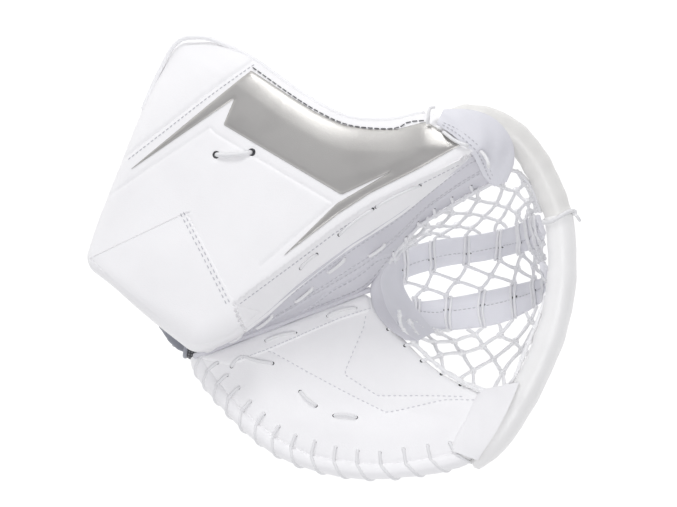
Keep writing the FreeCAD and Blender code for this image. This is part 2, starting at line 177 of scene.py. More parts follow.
def ramp(tree, source, low, high, place=(0.3, 0.7)):
    """A colour ramp between two colours, driven by a node's output."""
    made = node(tree, "ShaderNodeValToRGB", Fac=source)
    for element, at, colour in zip(made.color_ramp.elements, place, (low, high)):
        element.position = at
        element.color = (*colour, 1)
    return made.outputs["Color"]


def bumped(tree, shader, source, strength, depth):
    bump = node(tree, "ShaderNodeBump", Strength=strength, Distance=depth, Height=source)
    tune(shader, Normal=bump.outputs["Normal"])


def combined(tree, operation, first, second):
    made = node(tree, "ShaderNodeMath", operation=operation)
    tree.links.new(first, made.inputs[0])
    tree.links.new(second, made.inputs[1])
    return made.outputs[0]


def place_of(tree):
    return tree.nodes.new("ShaderNodeTexCoord").outputs["Object"]


def leather(name, colour, shade, roughness, grain=900.0, depth=0.00022, coat=0.0, metallic=0.0):
    """Synthetic leather: a fine pebble grain, soft stains, and painted shade that darkens it a little where the surface
    is hollow, in seams and creases.
    """
    material, tree, shader = shader_of(name, colour, roughness, Metallic=metallic, Coat_Weight=coat)
    place = place_of(tree)
    cells = node(tree, "ShaderNodeTexVoronoi", Scale=grain, Vector=place).outputs["Distance"]
    fine = node(tree, "ShaderNodeTexNoise", Scale=grain * 1.9, Detail=3.0, Vector=place).outputs["Fac"]
    bumped(tree, shader, combined(tree, "ADD", cells, fine), 0.35, depth)
    stain = node(tree, "ShaderNodeTexNoise", Scale=14.0, Detail=4.0, Vector=place).outputs["Fac"]
    # painted shade: where pointiness is low, in seams, creases and hollows, the colour is multiplied down to 0.93
    edge = tree.nodes.new("ShaderNodeNewGeometry").outputs["Pointiness"]
    mixed = node(tree, "ShaderNodeMix", data_type="RGBA", blend_type="MULTIPLY", Factor=1.0)
    tree.links.new(ramp(tree, stain, shade, colour, (0.32, 0.56)), mixed.inputs[6])
    tree.links.new(ramp(tree, edge, (0.93, 0.93, 0.93), (1, 1, 1), (0.40, 0.49)), mixed.inputs[7])
    rough = node(tree, "ShaderNodeMapRange", To_Min=roughness - 0.06, To_Max=roughness + 0.08, Value=stain)
    tune(shader, Base_Color=mixed.outputs[2], Roughness=rough.outputs["Result"])
    return material


def woven(name, colour, shade, pitch, roughness=0.8, depth=0.0004):
    """A weave of crossing threads, at a pitch in metres."""
    material, tree, shader = shader_of(name, colour, roughness, Sheen_Weight=0.2)
    turns = 2 * math.pi / pitch / 20
    waves = [node(tree, "ShaderNodeTexWave", Scale=turns, bands_direction=way, Vector=place_of(tree)).outputs["Fac"]
             for way in "XY"]
    both = combined(tree, "MULTIPLY", *waves)
    bumped(tree, shader, both, 0.6, depth)
    tune(shader, Base_Color=ramp(tree, both, shade, colour, (0.0, 0.5)))
    return material


def fibrous(name, colour, shade, scale, roughness, depth=0.0003, sheen=0.3):
    """Short fibres or a waxed thread: noise over a plain colour."""
    material, tree, shader = shader_of(name, colour, roughness, Sheen_Weight=sheen)
    noise = node(tree, "ShaderNodeTexNoise", Scale=scale, Detail=5.0, Roughness=0.65, Vector=place_of(tree))
    bumped(tree, shader, noise.outputs["Fac"], 0.5, depth)
    tune(shader, Base_Color=ramp(tree, noise.outputs["Fac"], shade, colour))
    return material


WHITE = leather("white_leather_grain", (0.93, 0.925, 0.93), (0.90, 0.895, 0.90), 0.50)
PALM_WHITE = leather("palm_leather_grain", (0.96, 0.955, 0.96), (0.93, 0.925, 0.93), 0.52, 700.0)
# painted shade: the glove's white leather made grey-violet for the shade on the thumb wall's inner face; also used for
# the crease roll, the crotch cuffs and the gusset on the wall
WALL_SHADED_WHITE = leather("wall_leather_painted_shade", (0.70, 0.695, 0.735), (0.645, 0.64, 0.68), 0.55)
BEAD = leather("bead_leather_grain", (0.85, 0.843, 0.815), (0.81, 0.80, 0.77), 0.36, 600.0, coat=0.08)
BEAD_WHITE = leather("bead_white_grain", (0.95, 0.947, 0.935), (0.91, 0.905, 0.89), 0.36, 600.0, coat=0.08)
# painted shade: white leather made grey-violet for the straps and crotch deep in the pocket and for the thumb's corner
# tab, where shade falls
BAND = leather("band_leather_painted_shade", (0.80, 0.80, 0.84), (0.76, 0.76, 0.80), 0.6)
SILVER = leather("silver_leather_grain", (0.53, 0.52, 0.50), (0.45, 0.44, 0.425), 0.36, 1500.0, 0.00014, metallic=0.7)
PIPING = leather("piping_grain", (0.92, 0.92, 0.925), (0.88, 0.88, 0.89), 0.4, 1400.0)
# painted shade: stitch thread made grey, not white, so each stitch reads as the shaded dot of its needle hole
THREAD = fibrous("stitch_thread_painted_shade", (0.62, 0.62, 0.65), (0.52, 0.52, 0.55), 2500.0, 0.7)
DARK_THREAD = fibrous("dark_thread", (0.17, 0.17, 0.18), (0.11, 0.11, 0.12), 2500.0, 0.7)
LACE = fibrous("waxed_lace", (0.90, 0.90, 0.90), (0.80, 0.80, 0.81), 1800.0, 0.55)
# painted light: one white cord in two copies, greyer for the thumb-side net that the wall shades and for the middle
# net, and whiter for the lit finger-side net
NET_SHADED_CORD = fibrous("net_cord", (0.88, 0.88, 0.89), (0.78, 0.78, 0.80), 1600.0, 0.6)
NET_LIT_CORD = fibrous("net_cord_painted_lit", (0.96, 0.96, 0.96), (0.89, 0.89, 0.90), 1600.0, 0.6)
# painted shade: the palm's stitch thread, grey for the shaded needle holes, but lighter than the other thread
PALE_THREAD = fibrous("pale_thread_painted_shade", (0.74, 0.74, 0.77), (0.66, 0.66, 0.69), 2500.0, 0.7)
# painted shadow: near-black for the shade inside each lace hole
HOLE = fibrous("hole_painted_shadow", (0.02, 0.02, 0.022), (0.01, 0.01, 0.012), 900.0, 0.9)
METAL = fibrous("eyelet_enamel", (0.06, 0.06, 0.065), (0.03, 0.03, 0.035), 700.0, 0.35, 0.00004, 0.0)
LINING = woven("dark_lining_mesh", (0.20, 0.20, 0.215), (0.05, 0.05, 0.055), 0.0024)
GUARD = leather("guard_leather_grain", (0.36, 0.37, 0.41), (0.27, 0.28, 0.32), 0.42, 900.0)
BACK_MESH = woven("pale_back_mesh", (0.84, 0.84, 0.85), (0.55, 0.55, 0.57), 0.0032, 0.85, 0.0006)
WEBBING = woven("strap_webbing", (0.82, 0.82, 0.83), (0.60, 0.60, 0.61), 0.0018, 0.75, 0.0005)
HOOK = fibrous("hook_tape_black", (0.09, 0.09, 0.095), (0.04, 0.04, 0.045), 1300.0, 0.75, 0.0009, 0.1)
LOOP = fibrous("loop_tape_black", (0.10, 0.10, 0.105), (0.05, 0.05, 0.055), 700.0, 0.95, 0.0010, 0.5)
SUEDE = fibrous("grip_suede_grey", (0.42, 0.41, 0.40), (0.33, 0.32, 0.31), 900.0, 0.95, 0.0005, 0.5)


# ---- lines and outlines ----
def resampled(points, step, closed=False):
    """The same line with points evenly spaced along it."""
    p = np.vstack([points, points[:1]]) if closed else arr(points)
    total = np.concatenate([[0], np.cumsum(np.linalg.norm(np.diff(p, axis=0), axis=1))])
    count = max(2, int(round(total[-1] / step)) + 1)
    t = np.linspace(0, total[-1], count)
    out = np.column_stack([np.interp(t, total, p[:, k]) for k in range(p.shape[1])])
    return out[:-1] if closed else out


def curved(points, step, closed=False):
    """A smooth curve through the points, evenly sampled."""
    p = arr(points)
    if len(p) < 3:
        return resampled(p, step)
    padded = np.vstack([p[-1:], p, p[:2]]) if closed else np.vstack([2 * p[0] - p[1], p, 2 * p[-1] - p[-2]])
    out = []
    t = np.linspace(0, 1, 12, endpoint=False)[:, None]
    for a, b, c, d in zip(padded, padded[1:], padded[2:], padded[3:]):
        out.append(0.5 * (2 * b + (c - a) * t + (2 * a - 5 * b + 4 * c - d) * t**2 + (3 * b - a - 3 * c + d) * t**3))
    if not closed:
        out.append(p[-1:])
    return resampled(np.vstack(out), step, closed)


def eased(line, reach):
    """The same curve with its small kinks averaged away, its ends kept."""
    out = line.copy()
    for i in range(1, len(line) - 1):
        near = min(reach, i, len(line) - 1 - i)
        out[i] = line[i - near:i + near + 1].mean(axis=0)
    return out


def rounded(points, share, step):
    """A closed outline with each corner rounded, by a share of its shorter side."""
    p = arr(points)
    out = []
    for before, corner, after in zip(np.roll(p, 1, axis=0), p, np.roll(p, -1, axis=0)):
        a, b = np.linalg.norm(before - corner), np.linalg.norm(after - corner)
        cut = share * min(a, b)
        first, last = corner + (before - corner) * cut / a, corner + (after - corner) * cut / b
        for t in np.linspace(0, 1, 7):
            out.append((1 - t) ** 2 * first + 2 * t * (1 - t) * corner + t * t * last)
    return resampled(arr(out), step, True)


def distance(points, line, closed=False):
    """How far each point is from a line, in the plane."""
    line = arr(line)
    starts, ends = (line, np.roll(line, -1, axis=0)) if closed else (line[:-1], line[1:])
    best = np.full(len(points), 1e9)
    for a, b in zip(starts, ends):
        run = b - a
        t = np.clip(((points - a) @ run) / max(run @ run, 1e-9), 0, 1)
        best = np.minimum(best, np.linalg.norm(points - a - t[:, None] * run, axis=1))
    return best


def inside(points, loop):
    loop = arr(loop)
    found = np.zeros(len(points), bool)
    for a, b in zip(loop, np.roll(loop, -1, axis=0)):
        if a[1] == b[1]:
            continue
        crosses = (a[1] > points[:, 1]) != (b[1] > points[:, 1])
        at = (b[0] - a[0]) * (points[:, 1] - a[1]) / (b[1] - a[1]) + a[0]
        found ^= crosses & (points[:, 0] < at)
    return found


def leftward(run):
    """Unit vectors to the left of each run, in the plane."""
    return np.column_stack([-run[:, 1], run[:, 0]]) / np.linalg.norm(run, axis=1)[:, None]


def inward(loop):
    """Unit vectors that point into a closed outline."""
    x, y = loop[:, 0], loop[:, 1]
    area = 0.5 * np.sum(x * np.roll(y, -1) - np.roll(x, -1) * y)
    return leftward(np.roll(loop, -1, axis=0) - np.roll(loop, 1, axis=0)) * np.sign(area)


def circle(count):
    """Cosine and sine of evenly spaced angles."""
    angles = np.linspace(0, 2 * math.pi, count, endpoint=False)
    return np.column_stack([np.cos(angles), np.sin(angles)])


def unit(vector):
    return arr(vector) / np.linalg.norm(vector)


def tiled(loop, spacing, rings, lines=()):
    """Triangles that fill an outline, finer in rings along its edge and in rows beside lines."""
    sets = [loop]
    for depth in rings:
        moved = loop + inward(loop) * depth
        true = distance(moved, loop, True)
        sets.append(moved[(np.abs(true - depth) < 0.06 * depth + 0.03) & inside(moved, loop)])
    low, high = loop.min(axis=0), loop.max(axis=0)
    height = spacing * math.sqrt(3) / 2
    grid = []
    for j in range(int((high[1] - low[1]) / height) + 1):
        xs = np.arange(low[0] + (j % 2) * spacing / 2, high[0], spacing)
        grid.append(np.column_stack([xs, np.full(len(xs), low[1] + j * height)]))
    grid = np.vstack(grid)
    grid = grid[inside(grid, loop)]
    grid = grid[distance(grid, loop, True) > max(rings) + spacing * 0.55]
    for line in lines:
        line = resampled(arr(line), 1.6)
        across = leftward(np.gradient(line, axis=0))
        beside = [line + across * side * row for row in SEAM_ROWS for side in ((1, -1) if row else (1,))]
        sets = [sets[0]] + [s[distance(s, line) > max(SEAM_ROWS) + 0.7] for s in sets[1:]]
        grid = grid[distance(grid, line) > max(SEAM_ROWS) + spacing * 0.45]
        beside = np.vstack(beside)
        beside = beside[inside(beside, loop)]
        sets.append(beside[distance(beside, loop, True) > 0.7])
    points = np.vstack(sets + [grid])
    count = len(loop)
    edges = [(i, (i + 1) % count) for i in range(count)]
    made = geometry.delaunay_2d_cdt([Vector(p) for p in points], edges, [], 1, 1e-3)
    verts = arr([tuple(v) for v in made[0]])
    place = {source: i for i, sources in enumerate(made[3]) for source in sources}
    return verts, [tuple(f) for f in made[2]], [place[i] for i in range(count)]


# ---- mesh parts: each is (points, faces, material number) ----
def pad(tiles, front, back, rows, bulge=0.0):
    """A closed form between two height fields over the same tiles, with a band round its edge."""
    verts, faces, rim = tiles
    n, count = len(verts), len(rim)
    points = [np.column_stack([verts, front]), np.column_stack([verts, back])]
    outward = -inward(verts[rim])
    columns = [rim]
    for row in range(1, rows):
        share = row / rows
        flat = verts[rim] + outward * bulge * math.sin(math.pi * share)
        columns.append(list(range(2 * n + (row - 1) * count, 2 * n + row * count)))
        points.append(np.column_stack([flat, front[rim] * (1 - share) + back[rim] * share]))
    columns.append([n + i for i in rim])
    sides = []
    for a, b in zip(columns, columns[1:]):
        for i in range(count):
            j = (i + 1) % count
            sides.append((a[i], a[j], b[j], b[i]))
    return np.vstack(points), faces + sides + [tuple(n + i for i in reversed(f)) for f in faces], 0


def skin(rows, closed=False, ends=()):
    """Faces over rings of as many points, with a fan from the first and the last ring to the end points."""
    count, faces = len(rows[0]), []
    for i in range(len(rows) if closed else len(rows) - 1):
        a, b = i * count, (i + 1) % len(rows) * count
        for k in range(count):
            m = (k + 1) % count
            faces.append((a + k, a + m, b + m, b + k))
    tip = len(rows) * count
    for k in range(count if len(ends) else 0):
        m = (k + 1) % count
        faces += [(m, k, tip), (tip - count + k, tip - count + m, tip + 1)]
    return np.vstack([*rows, *ends]), faces, 0


def tube(path, radius, sides=10, closed=False):
    """A round cord along a path, with pointed ends unless it is closed."""
    path = arr(path)
    radius = np.zeros(len(path)) + radius
    run = np.roll(path, -1, axis=0) - np.roll(path, 1, axis=0) if closed else np.gradient(path, axis=0)
    run = run / np.maximum(np.linalg.norm(run, axis=1), 1e-9)[:, None]
    side = np.cross(run[0], (0.31, 0.17, 0.93))
    if np.linalg.norm(side) < 1e-6:
        side = np.cross(run[0], (1.0, 0, 0))
    rows, (cosine, sine) = [], circle(sides).T
    for spot, reach, way in zip(path, radius, run):
        side = side - way * (side @ way)
        side = side / max(np.linalg.norm(side), 1e-9)
        rows.append(spot + reach * (np.outer(cosine, side) + np.outer(sine, np.cross(side, way))))
    ends = (path[0] - run[0] * radius[0] * 0.5, path[-1] + run[-1] * radius[-1] * 0.5)
    return skin(rows, closed, () if closed else ends)


def loft(sections):
    """A closed skin through sections of the same number of points."""
    rows = [arr(s) for s in sections]
    return skin(rows, ends=(rows[0].mean(axis=0), rows[-1].mean(axis=0)))


def patch(line_a, line_b, rows, puff, thick, wave=0.0):
    """A leather sheet between two lines of as many points, puffed a little, with a back side."""
    t = np.linspace(0, 1, rows)
    sections = []
    for i, (a, b) in enumerate(zip(line_a, line_b)):
        rise = puff * np.sin(math.pi * t) ** 0.6 + wave * np.sin(t * 9 + i * 0.35) * np.sin(math.pi * t)
        face = a + np.outer(t, b - a) + np.outer(rise, (0, 0, 1.0))
        sections.append(np.vstack([face, face[::-1] - arr((0, 0, thick))]))
    return loft(sections)


def painted(part, material):
    return part[0], part[1], material


def laid(part, surface):
    """A flat part laid on a surface, its heights taken as lifts."""
    return surface(part[0][:, :2], part[0][:, 2]), part[1], part[2]


def raised(surface, amount):
    return lambda points, lift: surface(points, lift + amount)


def stretched(surface, stretch):
    """A surface of shares whose holes stay round, although its two shares differ in length."""
    def widened(points, lift):
        p = plan(points)
        middle = p.mean(axis=0)
        return surface(middle + (p - middle) * arr(stretch), lift)

    return widened


def sewn(loop, rings, height, rise, crown, soft, drop, lines=()):
    """A thin patch over a height field, with a soft rounded edge."""
    tiles = tiled(loop, 2.4, rings, lines)
    base = height(tiles[0])
    top = base + rise + crown * np.sqrt(smoothstep(distance(tiles[0], loop, True) / soft))
    return pad(tiles, top, base - drop, 2)


def piece(name, body, slot, materials, parts, place=from_break, replaces=(), sharp=55, ridden=True):
    """One object from several mesh parts, riding on a body, in place of the CAD nodes that it stands for."""
    points, faces, paint = [], [], []
    base = 0
    for part_points, part_faces, number in parts:
        faces += [tuple(base + i for i in f) for f in part_faces]
        paint += [number] * len(part_faces)
        points.append(place(part_points))
        base += len(part_points)
    mesh = bpy.data.meshes.new(name)
    mesh.from_pydata(np.vstack(points).tolist(), [], faces)
    for material in materials:
        mesh.materials.append(material)
    mesh.polygons.foreach_set("material_index", paint)
    cleaner = bmesh.new()
    cleaner.from_mesh(mesh)
    bmesh.ops.recalc_face_normals(cleaner, faces=cleaner.faces)
    cleaner.to_mesh(mesh)
    cleaner.free()
    return finished(bpy.data.objects.new(name, mesh), body, slot, replaces, sharp, ridden)


def finished(obj, body, slot, replaces=(), sharp=55, ridden=True):
    """Links, smooths and rides an object."""
    if obj.name not in bpy.context.scene.collection.objects:
        bpy.context.scene.collection.objects.link(obj)
    mesh = obj.data
    mesh.polygons.foreach_set("use_smooth", [True] * len(mesh.polygons))
    mesh.set_sharp_from_angle(angle=math.radians(sharp))
    if ridden:
        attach(obj, body)
    if replaces:
        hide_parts(*replaces)
    return obj


# ---- small sewn things ----
def stitches(line, surface, gap=3.7, length=2.3, radius=0.42, material=0):
    """A row of thread stitches along a line on a surface."""
    spots = resampled(arr(line), gap)
    parts = []
    for a, b in zip(spots, spots[1:]):
        end = a + (b - a) * min(1.0, length / max(np.linalg.norm(b - a), 1e-6))
        flat = arr([a, a * 0.75 + end * 0.25, a * 0.25 + end * 0.75, end])
        parts.append(painted(tube(surface(flat, arr([-0.3, 0.28, 0.28, -0.3])), radius, 5), material))
    return parts


def hole(spot, surface, radius, material=0):
    """A dark lace hole: a low rounded button of shadow in the surface."""
    rows = [surface(arr(spot) + radius * size * circle(12), lift) for size, lift in ((1, -0.5), (1, 0.12), (0.6, 0.2))]
    return painted(loft(rows), material)


STITCH_RUN = arr([0.0, 0.02, 0.10, 0.3, 0.5, 0.7, 0.90, 0.98, 1.0])
STITCH_RISE = arr([-2.2, -0.4, 0.9, 1.0, 1.0, 1.0, 0.9, -0.4, -2.2])


def lace(a, b, surface, rise, bend, radius):
    """A stitch of lacing cord between two holes in a surface."""
    run = arr(b) - arr(a)
    side = arr((-run[1], run[0])) / np.linalg.norm(run)
    flat = arr(a) + np.outer(STITCH_RUN, run) + np.outer(np.sin(math.pi * STITCH_RUN) * bend, side)
    return tube(curved(surface(flat, STITCH_RISE * rise), 0.9), radius, 9)


def knot(centre, way, across, size):
    """A bulky net knot: two small loops pulled tight over each other."""
    way = unit(way)
    across = unit(arr(across) - way * (arr(across) @ way))
    out = np.cross(way, across)
    cosine, sine = circle(14).T
    parts = []
    for tilt in (0.6, -0.75):
        first = way * math.cos(tilt) + across * math.sin(tilt)
        second = out * 0.8 + across * 0.35 * math.copysign(1, tilt)
        ring = arr(centre) + size * 0.78 * (np.outer(cosine, first) + np.outer(sine, second) * 0.8)
        parts.append(tube(ring, size * 0.62, 8, closed=True))
    return parts


def strand(a, b, sag, radius, twist):
    """A net cord between two points, a little slack."""
    a, b = arr(a), arr(b)
    t = np.linspace(0, 1, 7)
    side = np.cross(b - a, (0, 0, 1.0))
    side = side / max(np.linalg.norm(side), 1e-6)
    bow = np.outer(np.sin(math.pi * t), side * twist + arr((0, 0, -sag)))
    thick = radius * (1 + 0.10 * np.sin(t * 9 + a[0]))
    return tube(a + np.outer(t, b - a) + bow, thick, 8)


def smoothstep(t):
    t = np.clip(t, 0, 1)
    return t * t * (3 - 2 * t)


def groove(points, line, depth, width):
    return -depth * np.exp(-((distance(points, line) / width) ** 2))


def dimpled(height, points, spots, depth, width):
    """A height field with a small round hollow at each spot."""
    for spot in spots:
        height = height - depth * np.exp(-((np.linalg.norm(points - arr(spot), axis=1) / width) ** 2))
    return height


def rolled(edge, width):
    """How far a quarter-round edge falls: 1 at the edge itself, 0 at its full width."""
    t = np.clip(edge / width, 0, 1)
    return 1 - np.sqrt(np.maximum(1 - (1 - t) ** 2, 0))


def ripple(points, size, amount, seed):
    """Soft uneven swells, the same on every run."""
    waves = np.random.RandomState(seed)
    total = np.zeros(len(points))
    for _ in range(6):
        angle, phase = waves.uniform(0, 2 * math.pi, 2)
        length = size * waves.uniform(0.7, 1.6)
        total += np.sin((points @ arr((math.cos(angle), math.sin(angle)))) * 2 * math.pi / length + phase)
    return total * amount / 6


# ---- the cuff and thumb board ----
BOARD_OUTLINE = [
    (-86, 5), (-75, 1), (-51, 2), (-23, 9), (15, 24), (58, 37), (108, 47), (147, 60), (182, 71), (179, 86),
    (170, 104), (157, 117), (131, 120), (98, 134), (73, 165), (41, 217), (13, 245), (-6, 252), (-18, 247),
    (-44, 223), (-127, 130), (-144, 108), (-144, 98), (-131, 79), (-109, 40),
]
BOARD_LOOP = rounded(BOARD_OUTLINE, 0.45, 2.0)
FACE_SEAM = [(42, 209), (-4, 197), (-49, 184), (-85, 174), (-112, 162)]
ROLL_SEAM = [(-40, 29), (14, 44), (56, 56), (92, 64), (132, 67.5), (166, 71)]
WELT_SEAM = [(-116, 147), (-68, 158), (-9, 170), (-6, 163), (52, 89), (63, 75), (20, 60), (-7, 50)]
HEEL_TOP = [(-142, 107), (-96, 110), (-51, 113)]
HEEL_SIDE = [(-51, 113), (-45, 71), (-40, 29)]
SIDE_PANEL = FACE_SEAM + [(-150, 140), (-150, 260), (60, 260), (60, 214)]
LOWER_ROLL = ROLL_SEAM + [(190, 74), (190, 20), (-40, -20)]
FAR_EDGE = [(28, 238), (41, 217), (73, 165), (98, 134), (131, 120), (157, 117)]
BACK_RING = [(-118, 84), (-98, 44), (-74, 14), (-30, 18), (60, 47), (148, 72), (152, 98), (122, 108), (84, 130),
             (54, 166), (20, 222), (-10, 234), (-44, 208), (-118, 122), (-130, 104)]
BACK_SEAMS = [rounded(BACK_RING, 0.4, 3.0), [(-129, 98), (-60, 106), (20, 130), (78, 137)]]
BOARD_HOLES = [(-12, 147), (16, 138)]
PIPING_ENDS = ((-60, 205), (156, 117))
ACCENT = [
    (39, 202), (61, 170), (76, 149), (93, 131), (111, 120), (130, 112), (154, 109), (173, 82), (134, 76),
    (93, 72), (64, 66), (10, 50), (65, 74), (114, 82), (71, 79), (2, 168), (18, 185), (-86, 162), (29, 199),
]
HEEL = [(-141, 106), (-96, 109), (-51, 112), (-45, 71), (-39, 28), (-22, 15), (-51, 7), (-74, 6), (-83, 9),
        (-105, 43), (-130, 84)]


def board_height(points):
    """Height of the board's leather face over its plane."""
    points = plan(points)
    edge = distance(points, BOARD_LOOP, True) * inside(points, BOARD_LOOP)
    low_left = smoothstep((70 - points[:, 1]) / 60) * smoothstep((10 - points[:, 0]) / 40)
    width = 12 + 14 * low_left
    depth = 9 + 6 * low_left
    far_roll = 1 - smoothstep((distance(points, FAR_EDGE) - 22) / 20)
    width = width + 18 * far_roll
    depth = depth + 3 * far_roll
    height = -depth * rolled(edge, width)
    panel = inside(points, SIDE_PANEL)
    away = distance(points, FACE_SEAM)
    height = np.where(panel, height - 10 * smoothstep(away / 45) * (away / 45), height)
    roll = inside(points, LOWER_ROLL)
    share = edge / (edge + distance(points, ROLL_SEAM) + 1e-6)
    height = np.where(roll, -20 * (1 - share) ** 0.95, height)
    height += 3.2 * smoothstep(edge / 60) * (1 - roll)
    height += groove(points, FACE_SEAM, 1.4, 1.3) + groove(points, WELT_SEAM, 1.0, 1.2)
    height += groove(points, ROLL_SEAM, 0.8, 1.2)
    below = inside(points, HEEL) * (1 - smoothstep(distance(points, HEEL_TOP) / 30))
    height += ripple(points, 90, 0.7, 3) - 1.5 * below
    return dimpled(height, points, BOARD_HOLES, 1.3, 4.0)


def on_face(points, lift):
    return on_board(points, board_height(points) + lift)


def board():
    tiles = tiled(BOARD_LOOP, 2.6, (0.5, 1.2, 2.2, 3.6, 5.4, 7.6), (FACE_SEAM, ROLL_SEAM, WELT_SEAM, HEEL_TOP))
    front = board_height(tiles[0])
    edge = distance(tiles[0], BOARD_LOOP, True)
    back = -BOARD_THICKNESS + 5 * rolled(edge, 7) + ripple(tiles[0], 60, 0.5, 8)
    for seam in BACK_SEAMS:
        back -= groove(tiles[0], seam, 1.3, 1.8)
    back = np.minimum(back, front - 1.5)
    cover = laid(pad(tiles, front, back, 5, 1.0), on_board)
    obj = piece("board_cover", "thumb", "white_leather", [WHITE], [cover], replaces=(
        "cuff_cover_front", "cuff_cover_back", "cuff_edge_band", "cuff_foam_front", "cuff_foam_back",
        "cuff_stiffener"))


def panel(name, outline, share, slot, material, crown, node_name, soft=2.5):
    """A thin panel sewn on the board's face."""
    loop = rounded(outline, share, 1.4)
    part = laid(sewn(loop, (0.4, 1.0, 1.9), board_height, 0.45, crown, soft, 0.6), on_board)
    return piece(name, "thumb", slot, [material], [part], replaces=(node_name,))


def inset(line, amount):
    """A line moved sideways, to its left."""
    line = resampled(arr(line), 2.0)
    return line + leftward(np.gradient(line, axis=0)) * amount


def board_trim():
    panel("accent_panel", ACCENT, 0.05, "silver_leather", SILVER, 1.0, "accent_band")
    panel("heel_panel", HEEL, 0.04, "white_leather", WHITE, 0.5, "heel_overlay", 1.2)
    thread = stitches(inset(HEEL_SIDE, -2.4), raised(on_face, 1.1), 5.2, 2.6)
    thread += stitches(inset(HEEL_SIDE, -5.2), raised(on_face, 1.1), 5.2, 2.6)
    thread += stitches(inset(ROLL_SEAM, -3.2), on_face, 4.0, 2.4)
    thread += stitches(inset(FACE_SEAM[:-1], 3.0), on_face, 4.0, 2.4)
    far = [(41, 204), (62, 171), (77, 150), (93.5, 132), (111, 121), (130, 113), (141, 114), (154, 110)]
    thread += stitches(curved(arr(far), 2), raised(on_face, 0.7), 5.2, 3.6, 0.5, 1)
    for seam in BACK_SEAMS:
        for side in (-3.0, 3.0):
            thread += stitches(inset(seam, side), lambda p, l: on_board(p, -BOARD_THICKNESS - l - 0.1), 4.6, 2.6)
    piece("board_stitching", "thumb", "white_leather", [THREAD, DARK_THREAD], thread)
    lacing = [lace(*BOARD_HOLES, on_face, 1.7, -1.2, 2.1)]
    piece("board_lace", "thumb", "lace", [LACE], lacing, replaces=("cuff_lace",))
    rings = []
    for spot in BOARD_HOLES:
        rings += [tube(on_face(arr(spot) + 2.5 * circle(20), 0.15), 0.7, 8, closed=True), hole(spot, on_face, 2.2)]
    piece("board_eyelets", "thumb", "eyelet_metal", [METAL], rings, replaces=("cuff_eyelets",))
    near, last = (np.linalg.norm(BOARD_LOOP - arr(end), axis=1).argmin() for end in PIPING_ENDS)
    welt = np.roll(BOARD_LOOP, -last, axis=0)[:(near - last) % len(BOARD_LOOP)]
    cord = tube(on_board(curved(welt[::3], 2.5), -11.5), 1.9, 10)
    piece("board_piping", "thumb", "white_piping", [PIPING], [cord], replaces=("cuff_piping",))


board()
board_trim()


# ---- the thumb wall ----
WALL = [  # foot (x, y, z) and the plan position of the head, which meets the board's lower edge
    ((-79, 1, 89.5), (-80, 4)), ((-50, 1, 89.5), (-50, 5)), ((-23, 1, 89.5), (-23, 11)), ((15, 1, 89.5), (15, 25)),
    ((56, 1, 89.5), (58, 38)), ((80, 10, 97), (86, 44)), ((98, 21, 109), (112, 50)), ((121, 35, 121), (134, 57)),
    ((142, 40, 130), (154, 64)), ((163, 44, 137), (172, 69)), ((185, 47, 144), (184, 71)),
]
WALL_RAILS = curved([(*foot, x, y, BOARD_Z + RISE_X * x + RISE_Y * y - 21) for foot, (x, y) in WALL], 1.0)
WALL_FOOT, WALL_HEAD = WALL_RAILS[:, :3], WALL_RAILS[:, 3:]
WALL_OUT = arr((0, 0.71, -0.71))
WALL_SIZE = arr((240.0, 45.0))  # the length and the usual height that the wall's shares stand for
WALL_THICKNESS = 7.0
WALL_SEAM = [(0.0, 0.55), (0.12, 0.50), (0.30, 0.46), (0.50, 0.52), (0.75, 0.45), (1.0, 0.40)]


def rail(line, share):
    t = np.clip(share, 0, 1) * (len(line) - 1)
    i = np.minimum(t.astype(int), len(line) - 2)
    return line[i] + (line[i + 1] - line[i]) * (t - i)[:, None]


def on_wall(points, lift):
    """Points (share along, share up) on the wall's inner face, lifted into the pocket."""
    p = plan(points)
    low, high = rail(WALL_FOOT, p[:, 0]), rail(WALL_HEAD, p[:, 0])
    span = np.linalg.norm(high - low, axis=1)
    swell = np.sin(math.pi * np.clip(p[:, 1], 0, 1))
    shape = 0.05 * span * swell + ripple(np.column_stack([p[:, 0] * WALL_SIZE[0], p[:, 1] * span]), 45, 0.8, 5) * swell
    shape += groove(p * WALL_SIZE, arr(WALL_SEAM) * WALL_SIZE, 1.0, 1.6)
    return low + (high - low) * p[:, 1][:, None] + np.outer(shape + lift, (0, -0.71, 0.71))


wall_hole = stretched(on_wall, (0.75, 3.2))


def on_flat_wall(points, lift):
    return on_wall(arr(points) / WALL_SIZE, lift)


def wall():
    columns, rows = 150, 34
    sections = []
    for u in np.linspace(0, 1, columns):
        t = np.linspace(0, 1, rows)
        face = on_wall(np.column_stack([np.full(rows, u), t]), 0)
        low, high = on_wall([(u, 0), (u, 1)], 0)
        lip = [low + WALL_OUT * WALL_THICKNESS * d + (low - high) / np.linalg.norm(low - high) * s
               for d, s in ((0.85, 1.6), (0.5, 2.6), (0.15, 1.6))]
        back = [low + WALL_OUT * WALL_THICKNESS + (high - low) * k for k in np.linspace(0.97, 0.03, 8)]
        sections.append(np.vstack([face, back, lip]))
    piece("thumb_wall_cover", "thumb", "white_leather", [WALL_SHADED_WHITE], [loft(sections)], replaces=("thumb_wall",))


wall()


